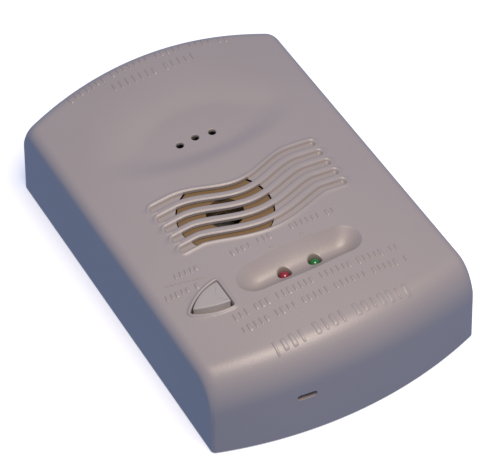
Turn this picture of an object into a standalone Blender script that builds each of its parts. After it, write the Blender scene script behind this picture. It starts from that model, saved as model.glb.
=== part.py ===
"""A carbon monoxide detector: a moulded unit that clips over a wall plate.

The origin is the middle of the wall plate's back. +Z points away from the wall, out of the face,
+Y towards the title end of the unit, and +X to the right of someone who reads the face.
Dimensions are in millimetres, and the helpers turn them into Blender's metres.
"""

import math

import bmesh
import bpy

MM = 0.001

# Driving dimensions.
WIDTH = 84.0  # across the back edge
LENGTH = 129.0  # over both curved ends
END_SAGITTA = 7.2  # how far each curved end bulges past its corners
FACE_HEIGHT = 32.0  # wall to the middle of the face
FACE_CROWN = 4.8  # how much lower the face is along its sides
WALL = 2.2  # moulding thickness of the cover
GAP = 0.3  # between pieces that touch on the real unit

# The cover's draft and rolled edges.
SIDE_DRAFT = 0.4
LOWER_DRAFT = 0.66
TITLE_DRAFT = 0.88
CORNER_RADIUS = 0.9
SIDE_ROLL = (2.9, 2.9)  # reach inwards, drop
LOWER_ROLL = (8.5, 13.0)
TITLE_ROLL = (6.2, 10.6)
ROLL_STEPS = 4
RIM_Z = 0.3

# The shallow scoop round the sensor's holes.
SENSOR_X, SENSOR_Y = -1.9, 23.3
SCOOP_CENTRE_Y = 28.0
SCOOP_REACH = (26.0, 13.0, 21.0)  # across, towards the grille, towards the title end
SCOOP_DEPTH = 1.9
SCOOP_RIM = 1.3  # where the scoop starts, as a share of its reach
SCOOP_SLOPES = (0.6, 1.3)  # shares of the reach over which it falls, at the grille and at the title end
SCOOP_FADE = 20.0  # the length over which one slope turns into the other
SENSOR_HOLE_PITCH = 5.25
SENSOR_HOLE_RADIUS = 1.15

# The basin that the two lamps stand in.
BASIN_Y = -31.65
BASIN_HALF_LENGTH = 19.3
BASIN_RADIUS = 5.6
BASIN_DEPTH = 4.8
BASIN_RUN = 6.6  # distance from its edge at which the basin would get its full depth
BASIN_END = 7.0  # how far in from its round ends the basin gets its depth
BASIN_BULGE = (0.045, 0.145, 15.5)  # wider by this share in the middle, less this at this x
LED_PITCH = 9.6
LED_Y = -31.6
LED_RADIUS = 1.5
LED_TIP_Z = 27.5
LED_HOLE_RADIUS = 2.0

# The grille's wavy slots, open inside a circle over the horn.
SLOT_COUNT = 5
SLOT_PITCH = 4.3
SLOT_TOP_Y = 5.0
SLOT_WIDTH = 2.3
WAVE_DEPTH = 5.1
WAVE_HALF_WIDTH = 19.5
WAVE_X = -0.5
WAVE_SHARPENING = 0.1  # how much squarer each slot's wave is than the one above
HORN_X, HORN_Y = -9.1, -6.6
GRILLE_RADIUS = 13.9
SLOT_STEPS = 8

# The test button, a triangle with bowed sides.
BUTTON_OPENING = ((-34.3, -32.4), (-23.3, -36.8), (-23.3, -27.1))
OPENING_BOWS = (1.1, 0.0, 1.3)
BUTTON_TOP = ((-32.9, -32.15), (-23.65, -35.3), (-23.65, -27.8))
TOP_BOWS = (0.5, 0.0, 1.2)
BUTTON_FLANGE = ((-35.0, -33.0), (-22.0, -38.0), (-22.0, -25.9))
BUTTON_TOP_Z = 29.6
BUTTON_X, BUTTON_Y = -26.6, -31.3

# The release slot in the lower end wall, and the latch behind it.
LATCH_X = -15.7
RELEASE_SLOT = (5.7, 2.0)
RELEASE_SLOT_Z = 15.0
LATCH_WIDTH = 4.8
LATCH_PIVOT_Y, LATCH_PIVOT_Z = -51.5, 1.4

# Levels behind the face.
PLATE_THICKNESS = 2.5
FLOOR_Z = (3.0, 4.8)
TRAY_RIM_Z = 7.5
BOARD_Z = (10.0, 11.6)
BOARD_HALF = (34.0, 42.0)
HORN_TOP_Z = 25.9
COVER_SCREW_SPOTS = (33.5, 47.0)
BOARD_SCREW_SPOTS = (31.0, 38.5)
GANG_BOX_PITCH = 83.3  # screw spacing of a single-gang wall box
WIRING_HALF_WIDTH = 23.0
WIRING_Y = (-8.0, 15.0)
TERMINAL_PITCH = 5.08
TERMINALS_PER_BLOCK = 4
TERMINAL_HALF_DEPTH = 5.0
TERMINAL_Z = (1.2, 9.7)

PARTS = bpy.data.collections.new("carbon_monoxide_detector")
CUTTERS = bpy.data.collections.new("cutters")


def clear_scene():
    for obj in list(bpy.data.objects):
        bpy.data.objects.remove(obj, do_unlink=True)
    for collection in (PARTS, CUTTERS):
        bpy.context.scene.collection.children.link(collection)


def plastic(name, colour, roughness, metallic=0.0):
    """A Principled material. The colour is three linear values."""
    made = bpy.data.materials.new(name)
    made.use_nodes = True
    shader = made.node_tree.nodes["Principled BSDF"]
    shader.inputs["Base Color"].default_value = (*colour, 1.0)
    shader.inputs["Roughness"].default_value = roughness
    shader.inputs["Metallic"].default_value = metallic
    return made


IVORY = plastic("ivory_abs", (0.62, 0.57, 0.53), 0.5)
WHITE = plastic("white_nylon", (0.72, 0.72, 0.70), 0.45)
GREY = plastic("grey_abs", (0.30, 0.30, 0.31), 0.55)
BLACK = plastic("black_epoxy", (0.02, 0.02, 0.022), 0.4)
TAN = plastic("tan_pbt", (0.42, 0.30, 0.17), 0.55)
FOAM = plastic("black_foam", (0.03, 0.03, 0.03), 0.95)
GREEN_BOARD = plastic("green_solder_mask", (0.02, 0.14, 0.06), 0.35)
TERMINAL_GREEN = plastic("green_nylon", (0.05, 0.30, 0.12), 0.5)
STEEL = plastic("zinc_plated_steel", (0.6, 0.6, 0.6), 0.35, 1.0)
BRASS = plastic("brass", (0.6, 0.42, 0.16), 0.3, 1.0)
CERAMIC = plastic("piezo_ceramic", (0.75, 0.72, 0.62), 0.6)
CHARCOAL = plastic("charcoal_cloth", (0.02, 0.02, 0.02), 0.9)
RED_LENS = plastic("red_epoxy_lens", (0.35, 0.006, 0.012), 0.15)
GREEN_LENS = plastic("green_epoxy_lens", (0.01, 0.16, 0.025), 0.15)


def add(name, mesh, material=None, spot=(0.0, 0.0, 0.0)):
    """A part with a material, or a cutter without one."""
    obj = bpy.data.objects.new(name, mesh)
    obj.location = [MM * value for value in spot]
    if material:
        mesh.materials.append(material)
        PARTS.objects.link(obj)
    else:
        CUTTERS.objects.link(obj)
        obj.hide_render = True
        obj.display_type = "WIRE"
    return obj


def mesh_from(bm, name, smooth=False):
    """A mesh from a bmesh, with its faces pointing out."""
    bmesh.ops.recalc_face_normals(bm, faces=bm.faces[:])
    mesh = bpy.data.meshes.new(name)
    bm.to_mesh(mesh)
    bm.free()
    if smooth:
        mesh.shade_smooth()
        mesh.set_sharp_from_angle(angle=math.radians(35))
    return mesh


def block(name, spans, material=None, bevel=0.0):
    """A box between three pairs of limits, with its origin at its middle."""
    bm = bmesh.new()
    bmesh.ops.create_cube(bm, size=1.0)
    bmesh.ops.scale(bm, vec=[MM * (high - low) for low, high in spans], verts=bm.verts[:])
    obj = add(name, mesh_from(bm, name), material, [(low + high) / 2 for low, high in spans])
    if bevel:
        rounding = obj.modifiers.new("rounding", "BEVEL")
        rounding.width = MM * bevel
        rounding.segments = 1
    return obj


def rod(name, spot, radius, levels, material=None, sides=24):
    """An upright cylinder at spot, between two heights."""
    bm = bmesh.new()
    low, high = levels
    bmesh.ops.create_cone(
        bm, cap_ends=True, segments=sides, radius1=MM * radius, radius2=MM * radius, depth=MM * (high - low)
    )
    return add(name, mesh_from(bm, name, True), material, (*spot, (low + high) / 2))


def turned(name, profile, spot, material, steps=32):
    """A turned piece: profile is (radius, height) pairs that run down its outer side.

    A profile that starts and ends on the axis makes a solid, and any other one closes into a ring.
    """
    bm = bmesh.new()
    points = [bm.verts.new((MM * radius, 0.0, MM * height)) for radius, height in profile]
    is_ring = profile[0][0] > 0.0
    for start, end in zip(points, points[1:] + points[:1] if is_ring else points[1:]):
        bm.edges.new((start, end))
    mesh = bpy.data.meshes.new(name)
    bm.to_mesh(mesh)
    bm.free()
    obj = add(name, mesh, material, (*spot, 0.0))
    screw = obj.modifiers.new("turning", "SCREW")
    screw.steps = screw.render_steps = steps
    screw.use_merge_vertices = True
    screw.merge_threshold = 0.00001
    return obj


def prism(name, outline, levels, material=None):
    """A flat outline extruded between two heights, as a mesh that a Boolean can use."""
    low, high = levels
    curve = bpy.data.curves.new(name, "CURVE")
    curve.dimensions = "2D"
    curve.fill_mode = "BOTH"
    curve.extrude = MM * (high - low) / 2
    spline = curve.splines.new("POLY")
    spline.points.add(len(outline) - 1)
    for point, (x, y) in zip(spline.points, outline):
        point.co = (MM * x, MM * y, 0.0, 1.0)
    spline.use_cyclic_u = True
    holder = bpy.data.objects.new(name + "_outline", curve)
    bpy.context.scene.collection.objects.link(holder)
    graph = bpy.context.evaluated_depsgraph_get()
    mesh = bpy.data.meshes.new_from_object(holder.evaluated_get(graph))
    bpy.data.objects.remove(holder, do_unlink=True)
    bm = bmesh.new()
    bm.from_mesh(mesh)
    bpy.data.meshes.remove(mesh)
    bmesh.ops.remove_doubles(bm, verts=bm.verts[:], dist=0.000001)
    return add(name, mesh_from(bm, name), material, (0.0, 0.0, (low + high) / 2))


def combine(obj, tool, operation):
    """Cuts a tool from a part, or joins it to the part."""
    step = obj.modifiers.new(tool.name, "BOOLEAN")
    step.operation = operation
    step.solver = "EXACT"
    step.object = tool


def cut(obj, tool):
    combine(obj, tool, "DIFFERENCE")


def join(obj, tool):
    combine(obj, tool, "UNION")


def four_spots(spots):
    """The four mirrored places of a pair of distances from the middle."""
    x, y = spots
    return [(side * x, end * y) for end in (-1, 1) for side in (-1, 1)]


# ---- The outline and the face -------------------------------------------------------------


def end_reach(x):
    """How far the curved end lies from the middle, at x."""
    half = WIDTH / 2
    radius = (half**2 + END_SAGITTA**2) / (2 * END_SAGITTA)
    return LENGTH / 2 - radius + math.sqrt(radius**2 - x**2)


def plan_outline(inset, steps=10):
    """The unit's outline in plan, moved in by inset."""
    half = WIDTH / 2 - inset
    across = [half * (2 * step / steps - 1) for step in range(steps + 1)]
    lower = [(x, inset - end_reach(x)) for x in across]
    return lower + [(-x, end_reach(x) - inset) for x in across]


def roll(distance, reach, drop):
    """The drop of a rolled edge, at a distance in from where it meets the wall."""
    share = min(max(1.0 - distance / reach, 0.0), 1.0)
    return drop * (1.0 - math.sqrt(1.0 - share**2))


def smooth_step(share):
    share = min(max(share, 0.0), 1.0)
    return share * share * (3.0 - 2.0 * share)


def scoop(x, y):
    """Depth of the scoop round the sensor's holes: short on the grille's side, long on the other."""
    across, towards_grille, towards_title = SCOOP_REACH
    along = towards_grille if y < SCOOP_CENTRE_Y else towards_title
    ratio = math.hypot(x / across, (y - SCOOP_CENTRE_Y) / along)
    short, long = SCOOP_SLOPES
    slope = short + (long - short) * smooth_step((y - SENSOR_Y) / SCOOP_FADE)
    return SCOOP_DEPTH * smooth_step((SCOOP_RIM - ratio) / slope)


def bulge(x):
    """How much wider the basin is at x than one with straight sides, as a share."""
    middle, loss, reach = BASIN_BULGE
    return (middle - loss * smooth_step(abs(x) / reach)) * smooth_step((BASIN_HALF_LENGTH + 1.3 - abs(x)) / 2)


def basin(x, y):
    """Depth of the lamps' basin: a long bowl whose slope eases out towards its middle line."""
    past_end = max(abs(x) - (BASIN_HALF_LENGTH - BASIN_RADIUS), 0.0)
    away = abs(y - BASIN_Y) / (1.0 + bulge(x))
    half_high = math.sqrt(max(BASIN_RADIUS**2 - past_end**2, 0.0))
    if away >= half_high:
        return 0.0
    ratio = math.hypot(away / half_high, 0.2)
    slope = math.sin(math.pi / 2 * max(BASIN_RADIUS * (math.hypot(1.0, 0.2) - ratio) / BASIN_RUN, 0.0))
    end = math.sin(math.pi / 2 * min((BASIN_HALF_LENGTH - abs(x)) / BASIN_END, 1.0))
    return BASIN_DEPTH * slope * end


def wall_edges(x, inset):
    """Where the rolls meet the lower and title end walls, at x."""
    return LOWER_DRAFT + inset - end_reach(x), end_reach(x) - TITLE_DRAFT - inset


def face_z(x, y, inset):
    """Height of the outer face, or with the wall's thickness as inset, of the inner one."""
    lower, title = wall_edges(x, inset)
    side = WIDTH / 2 - SIDE_DRAFT - inset - abs(x)
    height = FACE_HEIGHT - inset - FACE_CROWN * (x / (WIDTH / 2)) ** 2
    height -= roll(side, SIDE_ROLL[0] - inset, SIDE_ROLL[1] - inset)
    height -= roll(y - lower, LOWER_ROLL[0] - inset, LOWER_ROLL[1] - inset)
    height -= roll(title - y, TITLE_ROLL[0] - inset, TITLE_ROLL[1] - inset)
    return height - scoop(x, y) - basin(x, y)


def roll_insets(reach):
    """Distances in from the edge that follow a roll evenly, from the edge inwards."""
    return [reach * (1.0 - math.cos(math.pi / 2 * step / ROLL_STEPS)) for step in range(ROLL_STEPS + 1)]


def rounded_corner(x, y, half, end, radius):
    """Moves a point near a corner of the outline on to the corner's curve."""
    over_x = abs(x) - (half - radius)
    over_y = abs(y) - (end - radius)
    if over_x <= 0.0 or over_y <= 0.0:
        return x, y
    share = max(over_x, over_y) / math.hypot(over_x, over_y)
    new_x = half - radius + over_x * share
    new_y = end - radius + over_y * share
    return math.copysign(new_x, x), math.copysign(new_y, y)


FACE_X = (5.0, 10.0, 14.0, 17.6, 19.4, 24.0, 30.0, 36.0)
FACE_Y = (
    -46.0, -42.0, -38.6, -37.3, -36.4, -34.5, -31.65, -29.5, -27.6, -26.0, -24.0, -16.0, -6.0, 3.0, 8.0,
    11.5, 14.0, 16.5, 19.5, 24.0, 30.0, 37.0, 44.0, 50.0,
)  # fmt: skip


def surface_grid(inset):
    """The points of the outer or the inner face, as columns of rows, and the loop under its edge."""
    half = WIDTH / 2 - SIDE_DRAFT - inset
    edge = [half - distance for distance in roll_insets(SIDE_ROLL[0] - inset)]
    right = sorted([*FACE_X, *edge])
    across = [-x for x in reversed(right)] + [0.0] + right
    radius = max(CORNER_RADIUS - inset, 0.4)
    last = len(FACE_Y) + 2 * (ROLL_STEPS + 1) - 1
    grid, foot = [], {}
    for i, x in enumerate(across):
        lower, title = wall_edges(x, inset)
        rows = [lower + distance for distance in roll_insets(LOWER_ROLL[0] - inset)]
        rows += FACE_Y
        rows += [title - distance for distance in reversed(roll_insets(TITLE_ROLL[0] - inset))]
        column = []
        for j, y in enumerate(rows):
            corner_end = end_reach(x) - inset - (LOWER_DRAFT if y < 0 else TITLE_DRAFT)
            flat = rounded_corner(x, y, half, corner_end, radius)
            column.append((*flat, face_z(x, y, inset)))
            if i in (0, len(across) - 1) or j in (0, last):
                foot_x = x * (WIDTH / 2 - inset) / half
                foot_y = y * (end_reach(x) - inset) / corner_end
                flat = rounded_corner(foot_x, foot_y, WIDTH / 2 - inset, end_reach(x) - inset, radius)
                foot[i, j] = (*flat, RIM_Z)
        grid.append(column)
    return grid, foot


def edge_loop(columns, rows):
    """The places round a grid's edge, in order."""
    loop = [(i, 0) for i in range(columns - 1)]
    loop += [(columns - 1, j) for j in range(rows - 1)]
    loop += [(i, rows - 1) for i in range(columns - 1, 0, -1)]
    return loop + [(0, j) for j in range(rows - 1, 0, -1)]


def cover_shell():
    """The cover's outer and inner skins, lofted between their edges and joined at the rim."""
    bm = bmesh.new()
    rims = []
    for inset in (0.0, WALL):
        grid, foot = surface_grid(inset)
        points = [[bm.verts.new([MM * value for value in spot]) for spot in column] for column in grid]
        for left, right in zip(points, points[1:]):
            for j in range(len(left) - 1):
                bm.faces.new((left[j], right[j], right[j + 1], left[j + 1]))
        loop = edge_loop(len(points), len(points[0]))
        top = [points[i][j] for i, j in loop]
        low = [bm.verts.new([MM * value for value in foot[place]]) for place in loop]
        for k in range(len(loop)):
            bm.faces.new((top[k - 1], top[k], low[k], low[k - 1]))
        rims.append(low)
    outer, inner = rims
    for k in range(len(outer)):
        bm.faces.new((outer[k - 1], outer[k], inner[k], inner[k - 1]))
    return mesh_from(bm, "front_cover", True)


# ---- The cover's openings -----------------------------------------------------------------


def slot_y(index, x):
    """The middle of a wavy slot, at x."""
    share = min(abs(x - WAVE_X) / WAVE_HALF_WIDTH, 1.0)
    wave = (0.5 + 0.5 * math.cos(math.pi * share)) ** (1.0 - WAVE_SHARPENING * index)
    return SLOT_TOP_Y - index * SLOT_PITCH - WAVE_DEPTH * wave


def slot_outline(index):
    """A slot's open stretch, which ends where the slot leaves the circle over the horn."""
    inside = [
        x / 4
        for x in range(-4 * 30, 4 * 30)
        if math.hypot(x / 4 - HORN_X, slot_y(index, x / 4) - HORN_Y) < GRILLE_RADIUS
    ]
    left, right = inside[0], inside[-1]
    across = [left + (right - left) * step / SLOT_STEPS for step in range(SLOT_STEPS + 1)]
    lower = [(x, slot_y(index, x) - SLOT_WIDTH / 2) for x in across]
    return lower + [(x, slot_y(index, x) + SLOT_WIDTH / 2) for x in reversed(across)]


def bowed_triangle(corners, bows, steps=4):
    """A triangle whose sides bow outwards by the given heights."""
    outline = []
    for side in range(3):
        (x0, y0), (x1, y1) = corners[side], corners[(side + 1) % 3]
        length = math.hypot(x1 - x0, y1 - y0)
        out_x, out_y = (y1 - y0) / length, (x0 - x1) / length
        count = steps if bows[side] else 1
        for step in range(count):
            share = step / count
            bow = 4 * bows[side] * share * (1 - share)
            outline.append((x0 + (x1 - x0) * share + out_x * bow, y0 + (y1 - y0) * share + out_y * bow))
    return outline


def make_cover():
    cover = add("front_cover", cover_shell(), IVORY)
    for index, spot in enumerate(four_spots(COVER_SCREW_SPOTS)):
        join(cover, rod(f"cover_boss_{index}", spot, 3.5, (FLOOR_Z[1] + GAP, 27.6), sides=16))
    for index, spot in enumerate(four_spots(COVER_SCREW_SPOTS)):
        cut(cover, rod(f"boss_bore_{index}", spot, 1.5, (0.0, 16.0), sides=12))
    for index in range(SLOT_COUNT):
        cut(cover, prism(f"grille_slot_{index}", slot_outline(index), (26.0, 34.0)))
    for index in (-1, 0, 1):
        spot = (SENSOR_X + index * SENSOR_HOLE_PITCH, SENSOR_Y + 0.5 * (1 - abs(index)))
        cut(cover, rod(f"sensor_hole_{index + 1}", spot, SENSOR_HOLE_RADIUS, (24.0, 34.0), sides=12))
    for side in (-1, 1):
        spot = (side * LED_PITCH / 2, LED_Y)
        cut(cover, rod(f"lamp_hole_{side + 1}", spot, LED_HOLE_RADIUS, (20.0, 34.0), sides=16))
    cut(cover, prism("button_opening", bowed_triangle(BUTTON_OPENING, OPENING_BOWS), (22.0, 34.0)))
    width, height = RELEASE_SLOT
    spans = (
        (LATCH_X - width / 2, LATCH_X + width / 2),
        (-LENGTH / 2 - 2.0, -LENGTH / 2 + 6.0),
        (RELEASE_SLOT_Z - height / 2, RELEASE_SLOT_Z + height / 2),
    )
    cut(cover, block("release_slot", spans))


# ---- Rear housing, wall plate and latch ---------------------------------------------------


def make_rear_housing():
    """The tray that closes the unit's back and carries the board."""
    tray = prism("rear_housing", plan_outline(WALL + 0.5), (FLOOR_Z[0], TRAY_RIM_Z), GREY)
    cut(tray, prism("tray_inside", plan_outline(WALL + 2.1), (FLOOR_Z[1], TRAY_RIM_Z + 2.0)))
    for index, spot in enumerate(four_spots(BOARD_SCREW_SPOTS)):
        join(tray, rod(f"board_post_{index}", spot, 3.0, (FLOOR_Z[0] + 0.5, BOARD_Z[0] - GAP), sides=16))
        cut(tray, rod(f"post_bore_{index}", spot, 1.4, (FLOOR_Z[1], BOARD_Z[0] + 2.0), sides=12))
    for index, spot in enumerate(four_spots(COVER_SCREW_SPOTS)):
        cut(tray, rod(f"tray_screw_hole_{index}", spot, 1.6, (0.0, TRAY_RIM_Z), sides=12))
    wiring = ((-WIRING_HALF_WIDTH, WIRING_HALF_WIDTH), WIRING_Y, (0.0, TRAY_RIM_Z))
    cut(tray, block("wiring_window", wiring))
    for end in (-1, 1):
        cut(tray, rod(f"box_screw_room_{end + 1}", (0.0, end * GANG_BOX_PITCH / 2), 6.0, (0.0, TRAY_RIM_Z)))
    notch = ((LATCH_X - 4.0, LATCH_X + 4.0), (-LENGTH / 2, LATCH_PIVOT_Y - 2.5), (0.0, TRAY_RIM_Z + 2.0))
    cut(tray, block("latch_notch", notch))


def make_wall_plate():
    """The plate that is screwed to the wall box, which the unit clips over."""
    plate = prism("mounting_plate", plan_outline(WALL + 1.2), (0.0, PLATE_THICKNESS), WHITE)
    through = (-1.0, PLATE_THICKNESS + 1.0)
    wiring = ((-WIRING_HALF_WIDTH - 1.0, WIRING_HALF_WIDTH + 1.0), (WIRING_Y[0] - 6.0, WIRING_Y[1] + 1.0), through)
    cut(plate, block("wire_entry", wiring))
    for end in (-1, 1):
        y = end * GANG_BOX_PITCH / 2
        cut(plate, block(f"box_screw_slot_{end + 1}", ((-5.0, 5.0), (y - 2.2, y + 2.2), through)))
    for index, spot in enumerate(four_spots(COVER_SCREW_SPOTS)):
        cut(plate, rod(f"screw_head_room_{index}", spot, 4.0, through, sides=16))
    gap = LATCH_WIDTH / 2 + 0.5
    cut(plate, block("latch_bay", ((LATCH_X - gap, LATCH_X + gap), (-LENGTH / 2, LATCH_PIVOT_Y + 2.2), through)))


def make_latch():
    """The finger that a small screwdriver pushes in through the release slot."""
    pivot = (LATCH_PIVOT_Y, LATCH_PIVOT_Z)
    side = [(-49.6, 0.6), (-49.6, 2.2), (-57.3, 2.2), (-57.3, 17.4), (-58.0, 18.2), (-59.3, 17.4), (-59.3, 0.6)]
    latch = prism("release_latch", side, (-LATCH_WIDTH / 2, LATCH_WIDTH / 2), WHITE)
    # The outline is drawn in the YZ plane: its x is the unit's Y, and its y the unit's Z.
    for vert in latch.data.vertices:
        along, up, across = vert.co
        vert.co = (across, along - MM * pivot[0], up - MM * pivot[1])
    latch.location = [MM * value for value in (LATCH_X, *pivot)]


# ---- The test button and its switch -------------------------------------------------------


def make_test_button():
    button = prism("test_button", bowed_triangle(BUTTON_TOP, TOP_BOWS), (25.0, BUTTON_TOP_Z), IVORY)
    join(button, prism("button_flange", bowed_triangle(BUTTON_FLANGE, TOP_BOWS), (24.0, 25.6)))
    join(button, rod("button_stem", (BUTTON_X, BUTTON_Y), 1.9, (16.6, 24.8), sides=16))
    low, high = BOARD_Z[1] + GAP, 15.3
    spans = ((BUTTON_X - 3.0, BUTTON_X + 3.0), (BUTTON_Y - 3.0, BUTTON_Y + 3.0), (low, high))
    switch = block("tact_switch_body", spans, BLACK)
    cut(switch, rod("plunger_bore", (BUTTON_X, BUTTON_Y), 2.05, (13.4, high + 1.0), sides=16))
    rod("tact_switch_plunger", (BUTTON_X, BUTTON_Y), 1.7, (14.7, 16.3), GREY, sides=16)


# ---- Lamps, sensor and horn ---------------------------------------------------------------


def make_lamps():
    flange_z = 24.5
    dome_z = LED_TIP_Z - LED_RADIUS
    dome = [
        (LED_RADIUS * math.sin(angle), dome_z + LED_RADIUS * math.cos(angle))
        for angle in [math.pi / 10 * step for step in range(6)]
    ]
    profile = [*dome, (LED_RADIUS, flange_z), (1.9, flange_z), (1.9, flange_z - 1.0), (0.0, flange_z - 1.0)]
    profile[0] = (0.0, LED_TIP_Z)
    for name, side, lens in (("red_alarm_led", -1, RED_LENS), ("green_normal_led", 1, GREEN_LENS)):
        spot = (side * LED_PITCH / 2, LED_Y)
        turned(name, profile, spot, lens, steps=16)
        rod(f"{name}_spacer", spot, 2.2, (BOARD_Z[1] + GAP, flange_z - 1.0 - GAP), WHITE, sides=16)


def make_sensor():
    """An electrochemical cell with a charcoal filter, sealed under the scoop's three holes."""
    spot = (SENSOR_X, SENSOR_Y)
    foot = BOARD_Z[1] + 0.6
    turned(
        "co_sensor_cell",
        [(0.0, 20.4), (8.6, 20.4), (8.6, 19.4), (10.0, 19.0), (10.0, foot), (0.0, foot)],
        spot,
        BLACK,
        steps=28,
    )
    turned(
        "co_sensor_cap",
        [(3.0, 24.0), (10.2, 24.0), (10.2, 20.7), (9.1, 20.7), (9.1, 23.0), (3.0, 23.0)],
        spot,
        WHITE,
        steps=28,
    )
    rod("co_sensor_filter", spot, 8.6, (20.9, 22.6), CHARCOAL, sides=28)
    turned("sensor_gas_seal", [(7.2, 27.3), (9.4, 27.3), (9.4, 24.3), (7.2, 24.3)], spot, FOAM, steps=28)
    for index in range(3):
        angle = math.radians(90 + 120 * index)
        pin = (SENSOR_X + 6.5 * math.cos(angle), SENSOR_Y + 6.5 * math.sin(angle))
        rod(f"co_sensor_pin_{index + 1}", pin, 0.6, (8.4, foot - GAP), BRASS, sides=10)
        yield rod(f"sensor_pin_hole_{index}", pin, 0.95, (BOARD_Z[0] - 1.0, BOARD_Z[1] + 1.0), sides=10)


def make_horn():
    """A piezo disc on a ring, under a resonator cup whose port faces the grille."""
    spot = (HORN_X, HORN_Y)
    foot = BOARD_Z[1] + GAP
    turned(
        "horn_housing",
        [(5.4, HORN_TOP_Z), (15.2, HORN_TOP_Z), (15.2, foot + 1.1), (13.8, foot + 1.1), (13.8, 24.7), (5.4, 24.7)],
        spot,
        TAN,
    )
    turned(
        "horn_base",
        [(11.0, 16.6), (12.6, 16.6), (12.6, foot + 0.8), (15.2, foot + 0.8), (15.2, foot), (11.0, foot)],
        spot,
        TAN,
    )
    rod("piezo_brass_disc", spot, 12.9, (16.9, 17.3), BRASS, sides=32)
    rod("piezo_ceramic_disc", spot, 8.5, (17.6, 17.9), CERAMIC, sides=28)
    turned("horn_gasket", [(14.0, 27.6), (15.4, 27.6), (15.4, 26.2), (14.0, 26.2)], spot, FOAM)


# ---- The circuit board and what it carries ------------------------------------------------


def make_board(holes):
    half_x, half_y = BOARD_HALF
    board = block("circuit_board", ((-half_x, half_x), (-half_y, half_y), BOARD_Z), GREEN_BOARD)
    for hole in holes:
        cut(board, hole)
    for index, spot in enumerate(four_spots(BOARD_SCREW_SPOTS)):
        cut(board, rod(f"board_screw_hole_{index}", spot, 1.5, (BOARD_Z[0] - 1.0, BOARD_Z[1] + 1.0), sides=12))
    foot = BOARD_Z[1] + GAP
    chips = {
        "alarm_relay": ((17.0, 27.0), (-8.0, 12.0), 10.2, GREY),
        "trouble_relay": ((17.0, 27.0), (-32.0, -12.0), 10.2, GREY),
        "microcontroller": ((-27.0, -17.0), (15.0, 25.0), 1.6, BLACK),
        "voltage_regulator": ((-29.0, -22.5), (29.0, 35.5), 2.3, BLACK),
        "crystal_can": ((-31.0, -26.5), (4.0, 11.0), 3.5, STEEL),
        "horn_driver_coil": ((9.5, 15.0), (-20.0, -14.5), 6.0, BLACK),
    }
    for name, (span_x, span_y, height, material) in chips.items():
        block(name, (span_x, span_y, (foot, foot + height)), material, bevel=0.3)
    rod("supply_capacitor", (20.0, 22.0), 4.0, (foot, foot + 11.5), BLACK)
    rod("filter_capacitor", (20.0, 33.0), 3.15, (foot, foot + 11.0), BLACK, sides=20)


def screw_profile(head_radius, head, shank_radius, tip):
    """A pan head at head[0]..head[1], and a shank to tip. The head may face up or down."""
    near, far = head
    outline = [(0.0, far), (head_radius, far), (head_radius, near), (shank_radius, near), (shank_radius, tip)]
    outline.append((0.0, tip))
    return outline if far > tip else outline[::-1]


def make_screws():
    for index, spot in enumerate(four_spots(BOARD_SCREW_SPOTS)):
        head = (BOARD_Z[1] + GAP, BOARD_Z[1] + GAP + 1.5)
        turned(f"board_screw_{index + 1}", screw_profile(2.3, head, 1.1, 5.4), spot, STEEL, steps=12)
    for index, spot in enumerate(four_spots(COVER_SCREW_SPOTS)):
        head = (FLOOR_Z[0] - GAP, 1.1)
        turned(f"cover_screw_{index + 1}", screw_profile(2.7, head, 1.2, 14.0), spot, STEEL, steps=12)


def make_terminals():
    """Two terminal blocks under the board, with their screws facing the wall."""
    length = TERMINAL_PITCH * TERMINALS_PER_BLOCK
    low, high = TERMINAL_Z
    number = 0
    for name, left in (("relay_terminal_block", -length - 1.0), ("power_terminal_block", 1.0)):
        spans = ((left, left + length), (-TERMINAL_HALF_DEPTH, TERMINAL_HALF_DEPTH), TERMINAL_Z)
        terminal_block = block(name, spans, TERMINAL_GREEN)
        for index in range(TERMINALS_PER_BLOCK):
            number += 1
            x = left + TERMINAL_PITCH * (index + 0.5)
            cut(terminal_block, rod(f"screw_well_{number}", (x, -1.0), 2.1, (low - 1.0, 6.0), sides=12))
            mouth = ((x - 1.6, x + 1.6), (3.0, 6.0), (low + 2.0, low + 5.5))
            cut(terminal_block, block(f"wire_mouth_{number}", mouth))
            screw = rod(f"terminal_screw_{number}", (x, -1.0), 1.8, (low + 0.5, 5.6), STEEL, sides=12)
            blade = ((x - 0.35, x + 0.35), (-4.0, 2.0), (low - 1.0, low + 1.2))
            cut(screw, block(f"blade_slot_{number}", blade))


def main():
    clear_scene()
    make_cover()
    make_rear_housing()
    make_wall_plate()
    make_latch()
    make_test_button()
    make_lamps()
    pin_holes = list(make_sensor())
    make_horn()
    make_board(pin_holes)
    make_screws()
    make_terminals()


main()
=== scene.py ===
# %% [markdown]
# # A carbon monoxide detector, piece by piece
#
# This lesson dresses a working model of a wall-mounted gas alarm. The solids that carry the motion
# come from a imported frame, and every cell below gives one piece its real surface. The unit lies on
# its back: +Z is out of its face, +Y is towards the end with the title, and +X is to the right of
# someone who reads the face.

import math

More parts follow.
